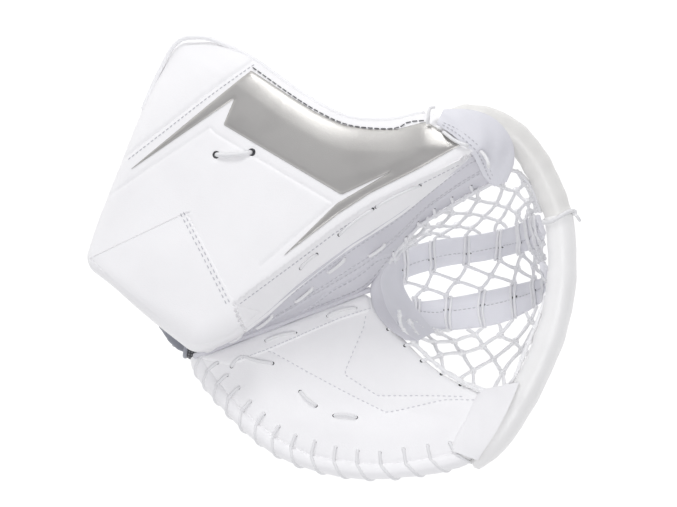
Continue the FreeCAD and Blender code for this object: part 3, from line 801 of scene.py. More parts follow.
# ---- the palm leaf ----
PALM_OUTLINE = [
    (-88, -1), (-85, -11), (-80, -24), (-73, -41), (-60, -70), (-42, -98), (-18, -119), (16, -138), (52, -149),
    (80, -154), (98, -153), (110, -145), (118, -134), (120, -122), (117, -111), (107, -102), (93, -84), (83, -64),
    (74, -41), (66, -20), (64, -1),
]
PALM_LOOP = rounded(PALM_OUTLINE, 0.4, 2.0)
STRIP = [(-86, -0.6), (63, -0.6), (61, -17.5), (34, -16), (-26, -19), (-62, -19)]
CHEVRON_A = [(-33, -17), (-27, -20), (-3, -49), (20, -76), (43, -102), (91, -110), (114, -119)]
CHEVRON_B = [(55, -20), (50, -29), (22, -59), (41, -86), (106, -113)]
PALM_LACES = [((-28, -10), (-3, -12.5)), ((26, -9), (50, -11)), ((-16, -60), (-8, -76)), ((3, -89), (19, -97))]
HEEL_LACES = [((-61, -20), (-50, -15)), ((-50, -15), (-29, -30))]


def palm_height(points):
    """Height of the palm's leather over the leaf's plane."""
    points = plan(points)
    edge = distance(points, PALM_LOOP, True) * inside(points, PALM_LOOP)
    height = -4.5 * rolled(edge, 7)
    height += 2.4 * smoothstep(edge / 26) - 2.6 * smoothstep((edge - 18) / 40)
    height += groove(points, CHEVRON_A, 0.5, 1.6) + groove(points, CHEVRON_B, 0.5, 1.6)
    height += ripple(points, 70, 1.1, 12)
    return dimpled(height, points, sum(PALM_LACES, ()), 0.8, 3.5)


def leaf_flat(points, lift):
    p = plan(points)
    return np.column_stack([p, palm_height(p) + lift])


def on_palm(points, lift):
    return leaf(leaf_flat(points, lift))


on_strip = raised(on_palm, 1.3)


def in_leaf(part):
    return leaf(part[0]), part[1], part[2]


def palm():
    tiles = tiled(PALM_LOOP, 2.8, (0.5, 1.3, 2.6, 4.4, 6.6), (CHEVRON_A, CHEVRON_B))
    front = palm_height(tiles[0])
    edge = distance(tiles[0], PALM_LOOP, True)
    back = -PALM_STACK + 3.5 * rolled(edge, 8) + ripple(tiles[0], 50, 0.5, 2)
    obj = piece("palm_cover", "palm", "white_leather", [PALM_WHITE], [in_leaf(pad(tiles, front, back, 4, 0.6))],
                replaces=("palm_leather", "palm_foam", "palm_plate"))
    strip = sewn(rounded(STRIP, 0.25, 1.8), (0.5, 1.2, 2.2), palm_height, 0.3, 1.1, 2.6, 0.6)
    piece("crease_strip", "palm", "white_leather", [PALM_WHITE], [in_leaf(strip)], replaces=("break_strip",))
    roll = curved([(-87, 0, BREAK_Z), (-30, 0, BREAK_Z + 0.3), (20, 0, BREAK_Z - 0.2), (66, 0, BREAK_Z)], 3)
    swell = 2.4 + 0.25 * np.sin(np.linspace(0, 19, len(roll)))
    # painted shade: the crease roll takes the wall's darkened leather, for the shade in the crease
    piece("crease_roll", "palm", "white_leather", [WALL_SHADED_WHITE], [tube(roll, swell, 12)], replaces=("break_roll",))
    thread = stitches([(-54, -17.2), (-28, -17.4), (34, -14.4), (62, -15.6)], on_strip, 3.4, 2.0)
    thread += stitches(CHEVRON_A, on_palm, 4.4, 2.2, 0.4)
    thread += stitches(CHEVRON_B, on_palm, 4.4, 2.2, 0.4)
    piece("palm_stitching", "palm", "white_leather", [PALE_THREAD], thread)
    lacing = []
    for i, (a, b) in enumerate(PALM_LACES + HEEL_LACES):
        surface = on_strip if i < 2 else on_palm
        lacing.append(lace(a, b, surface, 1.3, (1.2, 1.4, -1.0, 0.8, 1.0, -1.2)[i], 1.45))
        lacing += [hole(spot, surface, 1.5, 1) for spot in (a, b)]
    piece("palm_lacing", "palm", "lace", [LACE, HOLE], lacing, replaces=("palm_laces",))


RIM_PATH = [(-86, 1), (-84.5, -10), (-81, -25), (-75, -43), (-63, -71), (-44, -100), (-19, -122), (15, -141),
            (51, -152), (80, -157), (98, -156)]
RIM_LINE = curved([(x, y, -6.0) for x, y in RIM_PATH], 1.5)
WRAPS, WRAP_SPREAD = 15, 1.2


def rim():
    """The rolled edge, nipped in under each turn of the lace that whips it to the palm."""
    share = np.linspace(0, 1, len(RIM_LINE))
    nip = np.abs(np.sin(math.pi * (share ** (1 / WRAP_SPREAD) * (WRAPS + 0.4) - 0.35)))
    radius = ROLL_R - 0.5 + 0.55 * np.sqrt(nip) + 0.3 * np.sin(share * 23)
    radius *= np.interp(share, (0, 0.02, 0.96, 1), (0.8, 1, 1, 0.6))
    piece("rim_roll_cover", "palm", "white_leather", [PALM_WHITE], [in_leaf(tube(RIM_LINE, radius, 22))],
          replaces=("rim_roll",))
    run = np.gradient(RIM_LINE, axis=0)
    run /= np.linalg.norm(run, axis=1)[:, None]
    parts = []
    for i in range(WRAPS):
        t = ((i + 0.85) / (WRAPS + 0.4)) ** WRAP_SPREAD
        at = rail(RIM_LINE, arr([t]))[0]
        way = rail(run, arr([t]))[0]
        out = np.cross(way, (0, 0, 1.0))
        jitter = pick.uniform(-0.8, 0.8)
        start = at - out * (13.5 + jitter) - way * 4.5
        start_lift = palm_height([start[:2]])[0]
        points = [(start[0], start[1], start_lift - 2.0), (start[0], start[1], start_lift + 1.2)]
        for degrees in (118, 95, 65, 35, 5, -30, -65, -95):
            angle = math.radians(degrees)
            slide = (118 - degrees) / 213 * 17 - 4
            reach = ROLL_R + 0.1
            points.append(at + way * slide + out * math.cos(angle) * reach + arr((0, 0, math.sin(angle) * reach)))
        points.append(at + way * 9 - out * 7 + arr((0, 0, -ROLL_R - 1.0)))
        parts.append(tube(curved(points, 1.3), 1.3, 9))
        parts.append(hole(start[:2] - out[:2] * 0.3, leaf_flat, 1.45, 1))
    piece("rim_whip_lace", "palm", "lace", [LACE, HOLE], [in_leaf(p) for p in parts], replaces=("rim_lacing",))


palm()
rim()


# ---- the bead round the pocket ----
BEAD_THUMB = [(168, 106, 152), (180, 102.5, 155), (197, 95, 158), (213, 78, 159), (221, 57, 158), (225, 30, 157),
              (224.5, 2, 157)]
BEAD_FINGER = [(224.5, 2.5, 157), (217, -26, 158), (202, -59, 158), (183, -86, 156), (160, -110, 152), (134, -133, 148),
               (117, -146, 145), (103, -154.5, 142), (94, -159, 140)]


def row_point(x, y, z):
    return tuple(float(v) for v in from_break([(x, y, z)])[0])


def bead_cover(name, points, grow, seam_side, skin, replaced, taper_at, taper):
    """A stuffed leather roll with a closing seam along it and small tucks."""
    line = eased(curved(points, 2.2), 9)
    share = np.linspace(0, 1, len(line))
    radius = BEAD_R - 0.3 + grow * np.sin(math.pi * share) + 0.22 * np.sin(share * 31) + 0.16 * np.sin(share * 57 + 1)
    radius *= np.interp(share, taper_at, taper)
    sides = 30
    body = tube(line, radius, sides)
    rows = body[0][:len(line) * sides].reshape(len(line), sides, 3)
    centre = rows.mean(axis=1)
    out = rows - centre[:, None, :]
    unit = out / np.linalg.norm(out, axis=2)[:, :, None]
    facing = unit @ arr(seam_side)
    nearest = np.argmax(facing, axis=1)
    for i, k in enumerate(nearest):
        rows[i, k] -= out[i, k] * 0.07
    tuck = 0.012 * np.sin(share * 140 + 2 * np.sin(share * 17))[:, None] * np.clip(facing, 0, 1) ** 3
    rows -= out * tuck[:, :, None]
    points_out = body[0].copy()
    points_out[:len(line) * sides] = rows.reshape(-1, 3)
    seam = np.array([rows[i, k] for i, k in enumerate(nearest)])
    thread = []
    inward = curved([tuple(p) for p in seam[::6]], 1.0)
    for i in range(3, len(inward) - 4, 4):
        thread.append(painted(tube(inward[i:i + 3] + arr(seam_side) * 0.35, 0.4, 5), 1))
    return piece(name, "palm", "bead_leather", [skin, THREAD], [(points_out, body[1], 0)] + thread, replaces=replaced,
                 ridden=False, sharp=75)


def bead():
    obj = bead_cover("bead_thumb_cover", BEAD_THUMB, 0.4, (-0.75, -0.35, -0.55), BEAD,
                     ("bead_thumb", "bead_fold"), (0, 0.12, 0.95, 1), (0.45, 0.95, 1, 0.985))
    row_point(224, 8, 157)
    row_point(224, 57, 157)
    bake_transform(obj)
    obj = bead_cover("bead_finger_cover", BEAD_FINGER, 0.4, (-0.75, 0.45, -0.5), BEAD_WHITE,
                     ("bead_finger", "bead_fold"), (0, 0.05, 0.72, 0.84, 0.93, 1), (0.985, 1, 1, 0.93, 0.76, 0.38))
    row_point(201, -59, 157)
    row_point(224, 2, 157)
    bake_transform(obj)


bead()


# ---- straps and net of the pocket ----
STRAP_STATIONS = [
    (83, 58, -4, 10, 4, -20, -38, 4), (90, 30, -4, 17, 9, -20, -46, 10), (106, 14, -3, 20, 18, -27, -55, 17),
    (135, 6.5, -6, 17, 22, -34, -62, 20), (165, 10, -13, 12, 22, -39, -66, 21), (189, 29, -16, 8, 16, -42, -65, 16),
    (202, 60, -17, 6, 8, -42, -60, 8), (207, 100, -14, 8, 3, -36, -52, 3), (209, 137, -8, 9, 0, -27, -41, 0),
]
STRAP_THICKNESS = 3.6
ACROSS_PLAN = (0.356, 0.935)  # the way that the laces run over the straps, seen from above
CROTCH = [  # y, then x and z of the top edge and of the low edge
    (22, 98, 109, 104, 60), (13, 85, 99, 100, 42), (4, 77.5, 93, 97, 28), (-8, 75, 91, 94, 24),
    (-20, 74.5, 94.5, 95, 25), (-32, 77, 99, 98, 30), (-42, 81, 103, 100, 44), (-52, 88, 107, 104, 60),
]
CUFF = [(85, 17, 99), (75, 9, 95), (67, 2, 92), (64, -8, 92.5), (63.5, -19, 96.5), (66, -28, 100), (71, -38, 104.5),
        (78, -48, 108)]


def band_lines(side):
    """Inner and outer edge of a strap, and the direction that faces out of the pocket."""
    near, far, outward = [], [], []
    for i, station in enumerate(STRAP_STATIONS):
        a = STRAP_STATIONS[max(i - 1, 0)]
        b = STRAP_STATIONS[min(i + 1, len(STRAP_STATIONS) - 1)]
        run = arr((b[0] - a[0], 0, b[1] - a[1]))
        run /= np.linalg.norm(run)
        out = arr((run[2], 0, -run[0]))
        x, z = station[0], station[1]
        y_near, y_far, lift = station[2:5] if side == "thumb" else station[5:8]
        x -= 0 if side == "thumb" else max(0, z - 90) * 0.22
        near.append((x, y_near, z))
        far.append(tuple(arr((x, y_far, z)) - out * lift))
        outward.append(tuple(out))
    rails = curved(np.hstack([near, far, outward]), 2.0)
    out = rails[:, 6:] / np.linalg.norm(rails[:, 6:], axis=1)[:, None]
    return rails[:, :3], rails[:, 3:6], out


BANDS = {side: band_lines(side) for side in ("thumb", "finger")}


def on_band(side):
    """A surface of (share along, share across) on a strap's inner face; lift goes into the pocket."""
    near, far, outward = BANDS[side]

    def surface(points, lift):
        p = plan(points)
        a, b, out = rail(near, p[:, 0]), rail(far, p[:, 0]), rail(outward, p[:, 0])
        width = np.linalg.norm(b - a, axis=1)
        across = p[:, 1] * width
        puff = 0.9 * np.sin(math.pi * np.clip(p[:, 1], 0, 1)) ** 0.5
        puff = puff - 0.8 * np.exp(-(((across - 9.5) / 1.1) ** 2))
        puff = puff + 0.35 * np.sin(p[:, 0] * 34 + p[:, 1] * 3)
        return a + (b - a) * p[:, 1][:, None] - out * (puff + np.zeros(len(p)) + lift)[:, None]

    return surface


def strap_band(side):
    near, far, outward = BANDS[side]
    surface = on_band(side)
    across = np.linspace(0, 1, 19)
    sections = []
    for u in np.linspace(0, 1, 90):
        face = surface(np.column_stack([np.full(len(across), u), across]), 0)
        out = rail(outward, arr([u]))[0]
        back = [face[k] + out * (STRAP_THICKNESS + 0.3) for k in (-2, -6, -10, -14, 1)]
        edge_far = face[-1] + out * 1.8 + (face[-1] - face[-2]) * 0.25
        edge_near = face[0] + out * 1.8 + (face[0] - face[1]) * 0.25
        sections.append(np.vstack([face, [edge_far], back, [edge_near]]))
    parts = [loft(sections)]
    thread = stitches(np.column_stack([np.linspace(0.10, 0.97, 60), np.full(60, 0.40)]), surface, 0.0165, 0.010, 0.4, 1)
    return parts + thread


def pocket_bands():
    for side in ("thumb", "finger"):
        obj = piece("pocket_band_" + side, "pocket", "white_leather", [BAND, THREAD], strap_band(side),
                    replaces=("pocket_strap_" + side,), sharp=60)
    rows = arr(CROTCH)
    rails = curved(rows[:, (1, 0, 2, 3, 0, 4)], 1.5)
    top, low = rails[:, :3], rails[:, 3:]
    sections = []
    for a, b in zip(top, low):
        middle = (a + b) / 2 + arr((-2.0, 0, 0))
        t = np.linspace(0, 1, 12)[:, None]
        face = (1 - t) ** 2 * a + 2 * t * (1 - t) * middle + t * t * b
        back = face[::-1] + arr((-3.2, 0, -1.0))
        roll = [a + arr((-0.6, 0, 1.4)), a + arr((-2.4, 0, 1.2))]
        sections.append(np.vstack([face, back, roll[::-1]]))
    parts = [loft(sections)]
    cuff = rail(curved(CUFF, 1.5), np.linspace(0, 1, len(top)))
    inner = top + arr((-0.6, 0, 1.0))
    middle = len(top) // 2 - 4
    for name, part, bodies, ends in (
            ("crotch_cuff_thumb", slice(0, middle + 1), ("pocket", "thumb"), ((70, 0, 90), (80, 14, 95))),
            ("crotch_cuff_finger", slice(middle, None), ("palm", "pocket"), ((66, -38, 100), (66, -8, 92)))):
        sheet = patch(cuff[part], inner[part], 12, 1.6, 2.2)
        obj = piece(name, "pocket", "white_leather", [WALL_SHADED_WHITE], [sheet], sharp=60, ridden=False)
        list(bodies)
        row_point(*ends[0])
        row_point(*ends[1])
        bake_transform(obj)
    piece("pocket_crotch", "pocket", "white_leather", [BAND], parts, replaces=("pocket_base",), sharp=60)


NET_THUMB_EDGE = [(88, 15, 104), (98, 22, 112), (121, 34, 123), (142, 38, 132), (163, 42, 139), (184, 45, 146),
                  (200, 50, 151), (209, 43, 154), (213, 28, 155), (213, 10, 150)]
NET_FINGER_EDGE = [(82, -24, 96), (79, -38, 102), (87, -60, 110), (98, -81, 117), (111, -98, 124), (126, -109, 131),
                   (144, -107, 146), (160, -90, 150), (182, -66, 154), (198, -46, 155)]


def between(line_a, line_b, t, s):
    a, b = rail(line_a, arr([t]))[0], rail(line_b, arr([t]))[0]
    return a + (b - a) * s


def net_panel(low, high, columns, rows, sag, reach, seed):
    """A hand-knotted net: uneven knots, cords between them, and cords that run on to both edges."""
    jitter = np.random.RandomState(seed)
    knots = {}
    for j in range(rows):
        for i in range(columns):
            shift = 0.5 if j % 2 else 0.0
            t = (i + 0.35 + shift) / (columns + 0.2) + jitter.uniform(-0.014, 0.014)
            s = (j + 0.85 + jitter.uniform(-0.12, 0.12)) / (rows + 0.8)
            p = between(low, high, min(t, 1), s)
            drop = sag * 4 * s * (1 - s)
            knots[i, j] = p + arr((drop * 0.5, 0, -drop))
    parts = []
    for (i, j), here in knots.items():
        ahead = knots.get((i + 1, j), here + arr((1, 0, 0)))
        parts += knot(here, ahead - here, (0, 1, 0.2), KNOT_R * jitter.uniform(0.9, 1.15))
        sides = (i, i + 1) if j % 2 else (i - 1, i)
        for k in sides:
            if (k, j + 1) in knots:
                parts.append(strand(here, knots[k, j + 1], 0.8, NET_R, jitter.uniform(-1.2, 1.2)))
        t = (i + 0.35 + (0.5 if j % 2 else 0.0)) / (columns + 0.2)
        for row, steps, edge, offset, sag_out in ((rows - 1, (-0.03, 0.04), high, arr(reach), 0.4),
                                                  (0, (-0.035, 0.03), low, 0, 0.3)):
            for step in steps if j == row else ():
                end = rail(edge, arr([min(max(t + step, 0), 1)]))[0]
                parts.append(strand(here, end + offset, sag_out, NET_R, jitter.uniform(-1, 1)))
    return parts


def edge_whip(line, step, side):
    """The head rope that a net hangs from, with small turns round it."""
    parts = [tube(line, 1.5, 9)]
    for i in range(3, len(line) - 3, step):
        way = line[i + 1] - line[i - 1]
        parts += knot(line[i], way, side, 1.9)
    return parts


def side_net(side, edge, sign, seed):
    """A side net's knots and head rope, with the curve of its head rope."""
    high = curved(edge, 1.5)
    low = BANDS[side][1] + arr((0, sign, 2.0))
    return high, net_panel(low, high, 7, 4, 5, (0, 1.5 * sign, 0.5), seed) + edge_whip(high, 9, (0, 0, 1))


def nets():
    high, parts = side_net("thumb", NET_THUMB_EDGE, 1.0, 21)
    for share in (0.028, 0.13, 0.23, 0.33, 0.43, 0.54):
        foot = rail(high, arr([share]))[0]
        wall_u = np.argmin(np.linalg.norm(WALL_FOOT - foot, axis=1)) / (len(WALL_FOOT) - 1)
        spots = [(wall_u, 0.02), (wall_u - 0.004, 0.16)]
        path = np.vstack([[foot], on_wall(spots, 1.4), on_wall([(wall_u - 0.005, 0.20)], -1.5)])
        parts.append(tube(curved(path, 1.2), 1.35, 8))
        parts.append(hole((wall_u - 0.005, 0.20), wall_hole, 0.0075, 1))
    obj = piece("net_thumb_side", "pocket", "lace", [NET_SHADED_CORD, HOLE], parts, replaces=("net_thumb",), ridden=False)
    row_point(150, 10, 140)
    row_point(150, 45, 140)
    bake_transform(obj)
    high, parts = side_net("finger", NET_FINGER_EDGE, -1.0, 33)
    for share, x, y in ((0.12, 68, -37), (0.22, 76, -55), (0.32, 84, -72), (0.42, 95, -88), (0.50, 106, -102)):
        foot = rail(high, arr([share]))[0]
        path = np.vstack([[foot], on_palm([(x + 7, y - 1.5), (x + 2, y)], 1.5), on_palm([(x, y)], -1.5)])
        parts.append(tube(curved(path, 1.2), 1.35, 8))
        parts.append(hole((x, y), on_palm, 1.4, 1))
    obj = piece("net_finger_side", "pocket", "lace", [NET_LIT_CORD, HOLE], parts, replaces=("net_finger",), ridden=False)
    row_point(150, -75, 140)
    row_point(150, -35, 140)
    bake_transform(obj)
    centre_net()


def centre_net():
    """Laces over each strap at its holes, and the diamond net between the two straps."""
    parts = []
    shares = np.linspace(0.16, 0.90, 8)
    ties = {"thumb": [], "finger": []}
    for side in ties:
        surface = on_band(side)
        for n, u in enumerate(shares):
            u = u + (0.018 if side == "finger" else 0.0)
            shift = across_share(side, u) - u
            for offset in (-0.008, 0.008):
                v = np.linspace(-0.05, 1.04, 9)
                wander = 0.003 * np.sin(v * 5 + n)
                path = surface(np.column_stack([u + shift * v + offset + wander, v]), 1.1)
                parts.append(tube(curved(path, 1.8), 1.25, 8))
                spot = (u + shift * 0.36 + offset, 0.36)
                parts.append(hole(spot, stretched(surface, (0.7, 4.5)), 0.009, 1))
            ties[side].append(surface([(u, -0.10)], 0.5)[0])
            parts += knot(ties[side][-1], (1, 0, 0.2), (0, 1, 0), 2.4)
    for n in range(len(shares) - 1):
        a = (ties["thumb"][n] + ties["thumb"][n + 1]) / 2
        b = (ties["finger"][n] + ties["finger"][n + 1]) / 2
        pick.uniform()  # a spare draw, which keeps the later ones in their places
        spot = (a + b) / 2 + (a - b) * pick.uniform(-0.06, 0.06)
        parts += knot(spot, (1, 0, 0.1), (0, 1, 0), 2.7)
        for side in ties:
            for m in (n, n + 1):
                parts.append(strand(ties[side][m], spot, 0.6, 1.45, pick.uniform(-1, 1)))
    piece("net_middle", "pocket", "lace", [NET_SHADED_CORD, HOLE], parts, replaces=("net_centre",))


def across_share(side, u):
    """The share along the far edge that lies straight across from a share along the near edge."""
    near, far, _ = BANDS[side]
    tries = np.linspace(u - 0.15, u + 0.15, 61)
    run = rail(far, tries)[:, :2] - rail(near, arr([u]))[0, :2]
    return tries[np.argmin(np.abs(run[:, 0] * ACROSS_PLAN[1] - run[:, 1] * ACROSS_PLAN[0]))]


pocket_bands()
nets()


# ---- tabs, ties and laces on the thumb's side ----
TAB_THUMB = (
    [(160, 104, 163), (168, 92, 170), (173, 81, 175), (177, 72, 175), (179, 62, 167), (181, 50, 156), (186, 42, 153)],
    [(170, 113, 158), (187, 106, 165), (201, 95, 169), (208, 82, 170), (210, 68, 169), (206, 54, 165), (196, 42, 157)],
)
TAB_FINGER = (
    [(80, -150), (88, -141), (100, -131), (110, -121), (118, -111)],
    [(97, -155, 150), (107, -147, 154), (121, -136, 158), (135, -123, 161), (149, -108, 162)],
)


def tabs():
    """The leather corners that join each end of the bead to the glove."""
    rails = curved(np.hstack(TAB_THUMB), 2.0)
    part = patch(rails[:, :3], rails[:, 3:], 22, 2.2, 2.4, 0.5)
    thread = []
    for share in (0.12, 0.24):
        line = rails[4:-8, :3] * (1 - share) + rails[4:-8, 3:] * share + arr((0, 0, 1.7))
        line = resampled(line, 2.0)
        thread += [painted(tube(line[i:i + 2], 0.4, 5), 1) for i in range(0, len(line) - 1, 2)]
    piece("corner_tab_thumb", "thumb", "bead_leather", [BAND, THREAD], [part] + thread, replaces=("bead_tab_thumb",))
    rails = curved(np.hstack([on_palm(TAB_FINGER[0], 1.2), TAB_FINGER[1]]), 2.0)
    part = patch(rails[:, :3], rails[:, 3:], 18, 1.8, 2.2, 0.3)
    piece("corner_tab_finger", "palm", "bead_leather", [PALM_WHITE], [part], replaces=("bead_tab_finger",))
    ring = []
    for degrees in range(0, 360, 18):
        angle = math.radians(degrees)
        reach = BEAD_R + 0.6
        ring.append((224 + math.cos(angle) * reach, 2 + 1.2 * math.sin(angle * 2), 157 + math.sin(angle) * reach))
    parts = [tube(arr(ring), 1.7, 10, closed=True)]
    parts += knot((224 + BEAD_R + 1.0, 1, 159), (0, 1, 0), (0, 0, 1), 2.2)
    parts.append(tube(curved([(224 + BEAD_R + 1, 0, 159), (237.5, -3, 161), (238.5, -7, 159)], 1.0), 1.3, 8))
    piece("fold_tie", "pocket", "lace", [LACE], parts, replaces=("fold_knot",))


def wall_lacing():
    parts = []
    ends = [
        ((0.005, 0.25), (0.05, 0.62)), ((0.08, 0.35), (0.135, 0.55)), ((0.165, 0.50), (0.245, 0.74)),
        ((0.30, 0.62), (0.385, 0.72)), ((0.42, 0.80), (0.50, 0.86)), ((0.55, 0.62), (0.63, 0.60)),
    ]
    for i, (a, b) in enumerate(ends):
        spots = np.column_stack([np.linspace(a[0], b[0], 7), np.linspace(a[1], b[1], 7)])
        lifts = arr([-2.0, 0.9, 1.5, 1.6, 1.5, 0.9, -2.0])
        spots[0], spots[-1] = spots[1] - (spots[1] - spots[0]) * 0.1, spots[-2] + (spots[-1] - spots[-2]) * 0.1
        parts.append(tube(curved(on_wall(spots, lifts), 0.9), 1.45, 9))
        parts += [hole(spot, wall_hole, 0.0065, 1) for spot in (spots[0], spots[-1])]
    for a, b in [((58, 50), (90, 59.5)), ((93, 60), (131, 63.5)), ((20, 36), (36, 42))]:
        parts.append(lace(a, b, on_face, 1.3, 1.0, 1.35))
        parts += [hole(spot, on_face, 1.3, 1) for spot in (a, b)]
    parts.append(lace((163, 96), (176, 79), raised(on_board, 1.2), 1.5, -1.5, 1.5))
    parts.append(lace((184, 71), (185, 58), raised(on_board, -3.0), 1.5, 1.0, 1.4))
    tail = [(154, 107, 158), (156, 111, 160.5), (158, 115, 160), (160.5, 117.5, 158), (164, 117, 156.5)]
    tail = curved(tail, 1.0)
    parts.append(tube(tail, np.linspace(1.5, 1.2, len(tail)), 8))
    for row in (WALL_SEAM, arr(WALL_SEAM) + arr((0, 0.10)), [(0.02, 0.88), (0.3, 0.90), (0.6, 0.90), (0.98, 0.86)]):
        parts += stitches(row, on_wall, 0.016, 0.010, 0.42, 2)
    piece("thumb_wall_lacing", "thumb", "lace", [LACE, HOLE, THREAD], parts, replaces=("thumb_laces",))


GUSSET = [(0.30, 0.10), (0.415, 0.40), (0.60, 0.44), (0.66, 0.22), (0.56, 0.08)]


def gusset():
    """A stitched patch on the wall, over the thumb."""
    loop = rounded(arr(GUSSET) * WALL_SIZE, 0.15, 1.6)
    leaf_part = laid(sewn(loop, (0.5, 1.2, 2.4), lambda p: np.zeros(len(p)), 0.2, 1.0, 2.6, 0.8), on_flat_wall)
    centre = loop.mean(axis=0)
    inner = centre + (np.vstack([loop, loop[:1]]) - centre) * 0.88
    parts = [leaf_part] + stitches(inner, raised(on_flat_wall, 1.1), 4.0, 2.3, 0.4, 1)
    piece("gusset_patch", "thumb", "white_leather", [WALL_SHADED_WHITE, THREAD], parts, replaces=("thumb_gusset",))


tabs()
wall_lacing()
gusset()


# ---- behind the glove: the hand's compartment ----
def inflated(source, name, body, slot, material, cap, pressure=4.0, voxel=0.005):
    """A stuffed form grown by cloth pressure from a CAD pad, each point held within a cap of where it began."""
    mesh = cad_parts[source].data.copy()
    mesh.name = name
    obj = bpy.data.objects.new(name, mesh)
    bpy.context.scene.collection.objects.link(obj)
    mesh.materials.clear()
    mesh.materials.append(material)
    view = bpy.context.view_layer
    view.objects.active = obj
    obj.select_set(True)
    remesh = obj.modifiers.new("remesh", "REMESH")
    remesh.mode = "VOXEL"
    remesh.voxel_size = voxel
    bpy.ops.object.modifier_apply(modifier="remesh")
    start = arr([v.co[:] for v in obj.data.vertices])
    normals = arr([v.normal[:] for v in obj.data.vertices])
    start = start - normals * PAD_SHRINK
    obj.data.vertices.foreach_set("co", start.ravel())
    cloth = obj.modifiers.new("cloth", "CLOTH")
    cloth.settings.use_pressure = True
    cloth.settings.uniform_pressure_force = pressure
    cloth.settings.effector_weights.gravity = 0.0
    cloth.settings.quality = 5
    scene = bpy.context.scene
    for step in range(1, 21):
        scene.frame_set(step)
    shown = obj.evaluated_get(bpy.context.evaluated_depsgraph_get()).to_mesh()
    grown = arr([v.co[:] for v in shown.vertices])
    obj.modifiers.remove(cloth)
    scene.frame_set(1)
    move = grown - start
    size = np.maximum(np.linalg.norm(move, axis=1), 1e-9)
    start = start + move * np.minimum(1.0, cap / size)[:, None]
    obj.data.vertices.foreach_set("co", start.ravel())
    soften = obj.modifiers.new("soften", "SMOOTH")
    soften.factor, soften.iterations = 0.5, 3
    bpy.ops.object.modifier_apply(modifier="soften")
    split = obj.modifiers.new("split", "SUBSURF")
    split.levels = 1
    bpy.ops.object.modifier_apply(modifier="split")
    obj.select_set(False)
    finished(obj, body, slot, (source,), 80)
    return obj


PAD_SHRINK = 0.0012
PADS = [
    ("backhand_pad", "back_pad_cover", "palm", BACK_MESH, "back_mesh", 0.0035),
    ("wrist_guard", "wrist_guard_cover", "palm", GUARD, "white_leather", 0.003),
    ("knuckle_pad", "knuckle_pad_cover", "palm", WHITE, "white_leather", 0.0035),
    ("side_wall", "side_wall_cover", "palm", WHITE, "white_leather", 0.003),
    ("thumb_back_shell", "thumb_shell_cover", "thumb", WHITE, "white_leather", 0.003),
]
for source, name, body, material, slot, cap in PADS:
    inflated(source, name, body, slot, material, cap)
for finger in ("index", "middle", "ring", "little"):
    inflated("finger_shield_" + finger, "finger_pad_" + finger, "palm", "white_leather", WHITE, 0.002, 3.0, 0.004)

FINGERS = {"index": (28, 70), "middle": (2, 82), "ring": (-24, 76), "little": (-50, 58)}
KNUCKLE = arr((-6, -36, 0))
STALL_R = 12.5
STALL_DEPTH = -(PALM_STACK + 1.6 + STALL_R)
HAND = arr((math.cos(HAND_ANGLE), -math.sin(HAND_ANGLE), 0))
ACROSS = arr((math.sin(HAND_ANGLE), math.cos(HAND_ANGLE), 0))


def sleeve(start, end, radius, wrinkles):
    """A fabric tube with a wall, wrinkled across its length."""
    run = (end - start) / np.linalg.norm(end - start)
    side = unit(np.cross(run, (0, 0, 1.0)))
    over = np.cross(side, run)
    angles = np.linspace(0, 2 * math.pi, 32, endpoint=False)
    cosine, sine = circle(32).T
    sections = []
    for lining_wall in (0.0, 1.3):
        rows = []
        for s in np.linspace(0, 1, 40):
            swell = 0.25 * np.sin(s * wrinkles * 2 * math.pi + 0.8 * np.sin(angles * 2)) - 0.25
            reach = (radius + swell - lining_wall)[:, None]
            rows.append(start + (end - start) * s + reach * (np.outer(cosine, side) + np.outer(sine, over)))
        sections += rows[::-1] if lining_wall else rows
    return skin(sections, closed=True)


def stalls():
    for name, (offset, length) in FINGERS.items():
        base = KNUCKLE + ACROSS * offset + arr((0, 0, STALL_DEPTH))
        part = in_leaf(sleeve(base, base + HAND * length, STALL_R, 7))
        piece("finger_sleeve_" + name, "palm", "lining", [LINING], [part], replaces=("finger_stall_" + name,))
    part = sleeve(arr((0, 35, 80.0)), arr((104, 63, 103.0)), 13.0, 9)
    piece("thumb_sleeve", "thumb", "lining", [LINING], [part], replaces=("thumb_stall",))


HAND_LINING = [(-50, -16, 46, 22, 69), (0, -36, 46, 18.5, 69), (46, -50, 44, 18.5, 66)]


def lining():
    """The mesh lining round the hand, open at the wrist and at the fingers."""
    cosine, sine = circle(72).T
    squarish = [np.sign(c) * np.abs(c) ** 0.35 for c in (cosine, sine)]
    sections = []
    for inset_by in (0.0, 1.4):
        rows = []
        for x, y0, y1, z0, z1 in curved(HAND_LINING, 3.0):
            y = (y0 + y1) / 2 + ((y1 - y0) / 2 - inset_by) * squarish[0]
            z = (z0 + z1) / 2 + ((z1 - z0) / 2 - inset_by) * squarish[1]
            rows.append(np.column_stack([np.full(len(y), x), y, z + 0.4 * np.sin(x * 0.22 + y * 0.11)]))
        sections += rows[::-1] if inset_by else rows
    cloth = skin(sections, closed=True)
    piece("hand_lining_mesh", "palm", "lining", [LINING], [cloth], from_hand, ("hand_lining",), 80)
    mouths = (sections[0], sections[len(sections) // 2 - 1])
    binding = [tube(row, 1.9, 8, closed=True) for row in mouths]
    piece("lining_binding", "palm", "white_leather", [GUARD], binding, from_hand)


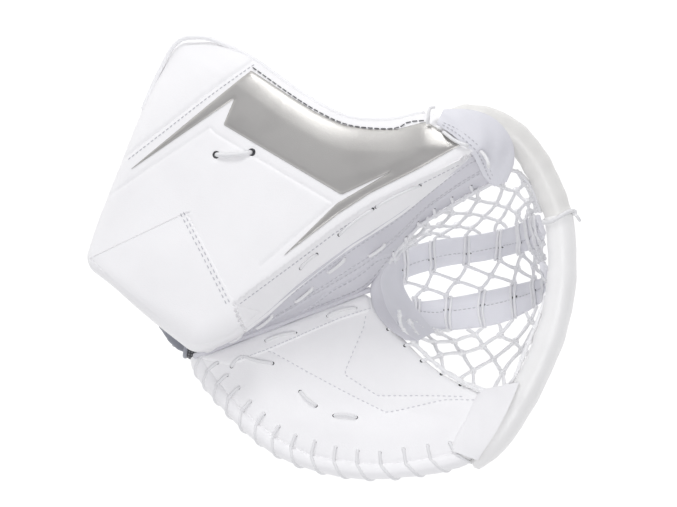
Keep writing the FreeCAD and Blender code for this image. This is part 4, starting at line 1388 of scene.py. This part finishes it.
def webbing(name, body, slot, material, corners, low, high, crown, node_name, thread_rows=()):
    """A flat strap or patch with rounded edges, laid in the hand's frame."""
    loop = rounded(corners, 0.12, 1.5)
    tiles = tiled(loop, 2.4, (0.4, 0.9, 1.8))
    shoulder = 0.5 * (high - low) * (1 - np.sqrt(smoothstep(distance(tiles[0], loop, True) / 1.2)))
    wave = crown * np.sin(tiles[0][:, 1] * 0.23 + 0.8)
    parts = [pad(tiles, high - shoulder + wave, low + shoulder + wave, 2, 0.2)]
    for row in thread_rows:
        parts += stitches(row, lambda p, lift: np.column_stack([p, low - lift - 0.05]), 3.2, 2.1, 0.35, 1)
    return piece(name, body, slot, [material, THREAD], parts, from_hand, (node_name,), 60)


def box_corners(x0, y0, x1, y1):
    return [(x0, y0), (x1, y0), (x1, y1), (x0, y1)]


def hand_straps():
    for kind, x0, x1, y0, y1, z0, z1 in (("wrist", -66, -41, -3, 58, 4.2, 7.0), ("hand", 16, 39, -34, 56, 0.9, 3.2)):
        sewn_box = box_corners(x0 + 3, y0 + 3, x1 - 3, y0 + 14)
        rows = [sewn_box + sewn_box[:1], [(x0 + 2.2, y0 + 16), (x0 + 2.2, y1 - 4)],
                [(x1 - 2.2, y0 + 16), (x1 - 2.2, y1 - 4)], [(x0 + 3, y1 - 4), (x1 - 3, y1 - 4)]]
        strap = kind + "_strap"
        webbing(strap + "_webbing", strap, "strap_web", WEBBING, box_corners(x0, y0, x1, y1), z0, z1, 0.0, strap, rows)
    for name, body, slot, material, box, low, high, stood_for, rows in (
            ("wrist_hook_tape", "wrist_strap", "hook_tape", HOOK, (-64, 20, -43, 44), 7.05, 8.0,
             "wrist_strap_hook", ()),
            ("wrist_loop_tape", "palm", "loop_tape", LOOP, (-65, 18, -42, 46), 8.05, 8.95, "wrist_loop_patch", ()),
            ("wrist_anchor_web", "palm", "strap_web", WEBBING, (-65, -12, -42, -4), 4.0, 8.9, "wrist_strap_anchor",
             [[(-63, -10), (-44, -10)], [(-63, -6), (-44, -6)]]),
            ("hand_hook_tape", "hand_strap", "hook_tape", HOOK, (18, 12, 37, 40), 3.25, 3.75, "hand_strap_hook", ()),
            ("hand_loop_tape", "palm", "loop_tape", LOOP, (17, 10, 38, 42), 3.8, 4.55, "hand_loop_patch", ()),
            ("hand_anchor_web", "palm", "strap_web", WEBBING, (17, -43, 38, -35), 0.8, 4.5, "hand_strap_anchor",
             [[(19, -41), (36, -41)], [(19, -37), (36, -37)]])):
        webbing(name, body, slot, material, box_corners(*box), low, high, 0, stood_for, rows)
    suede = [(-44, -8), (20, -34), (30, 10), (-30, 24)]
    webbing("palm_grip_suede", "palm", "grip_suede", SUEDE, suede, 69.6, 70.8, 0.1, "palm_grip")


stalls()
lining()
hand_straps()
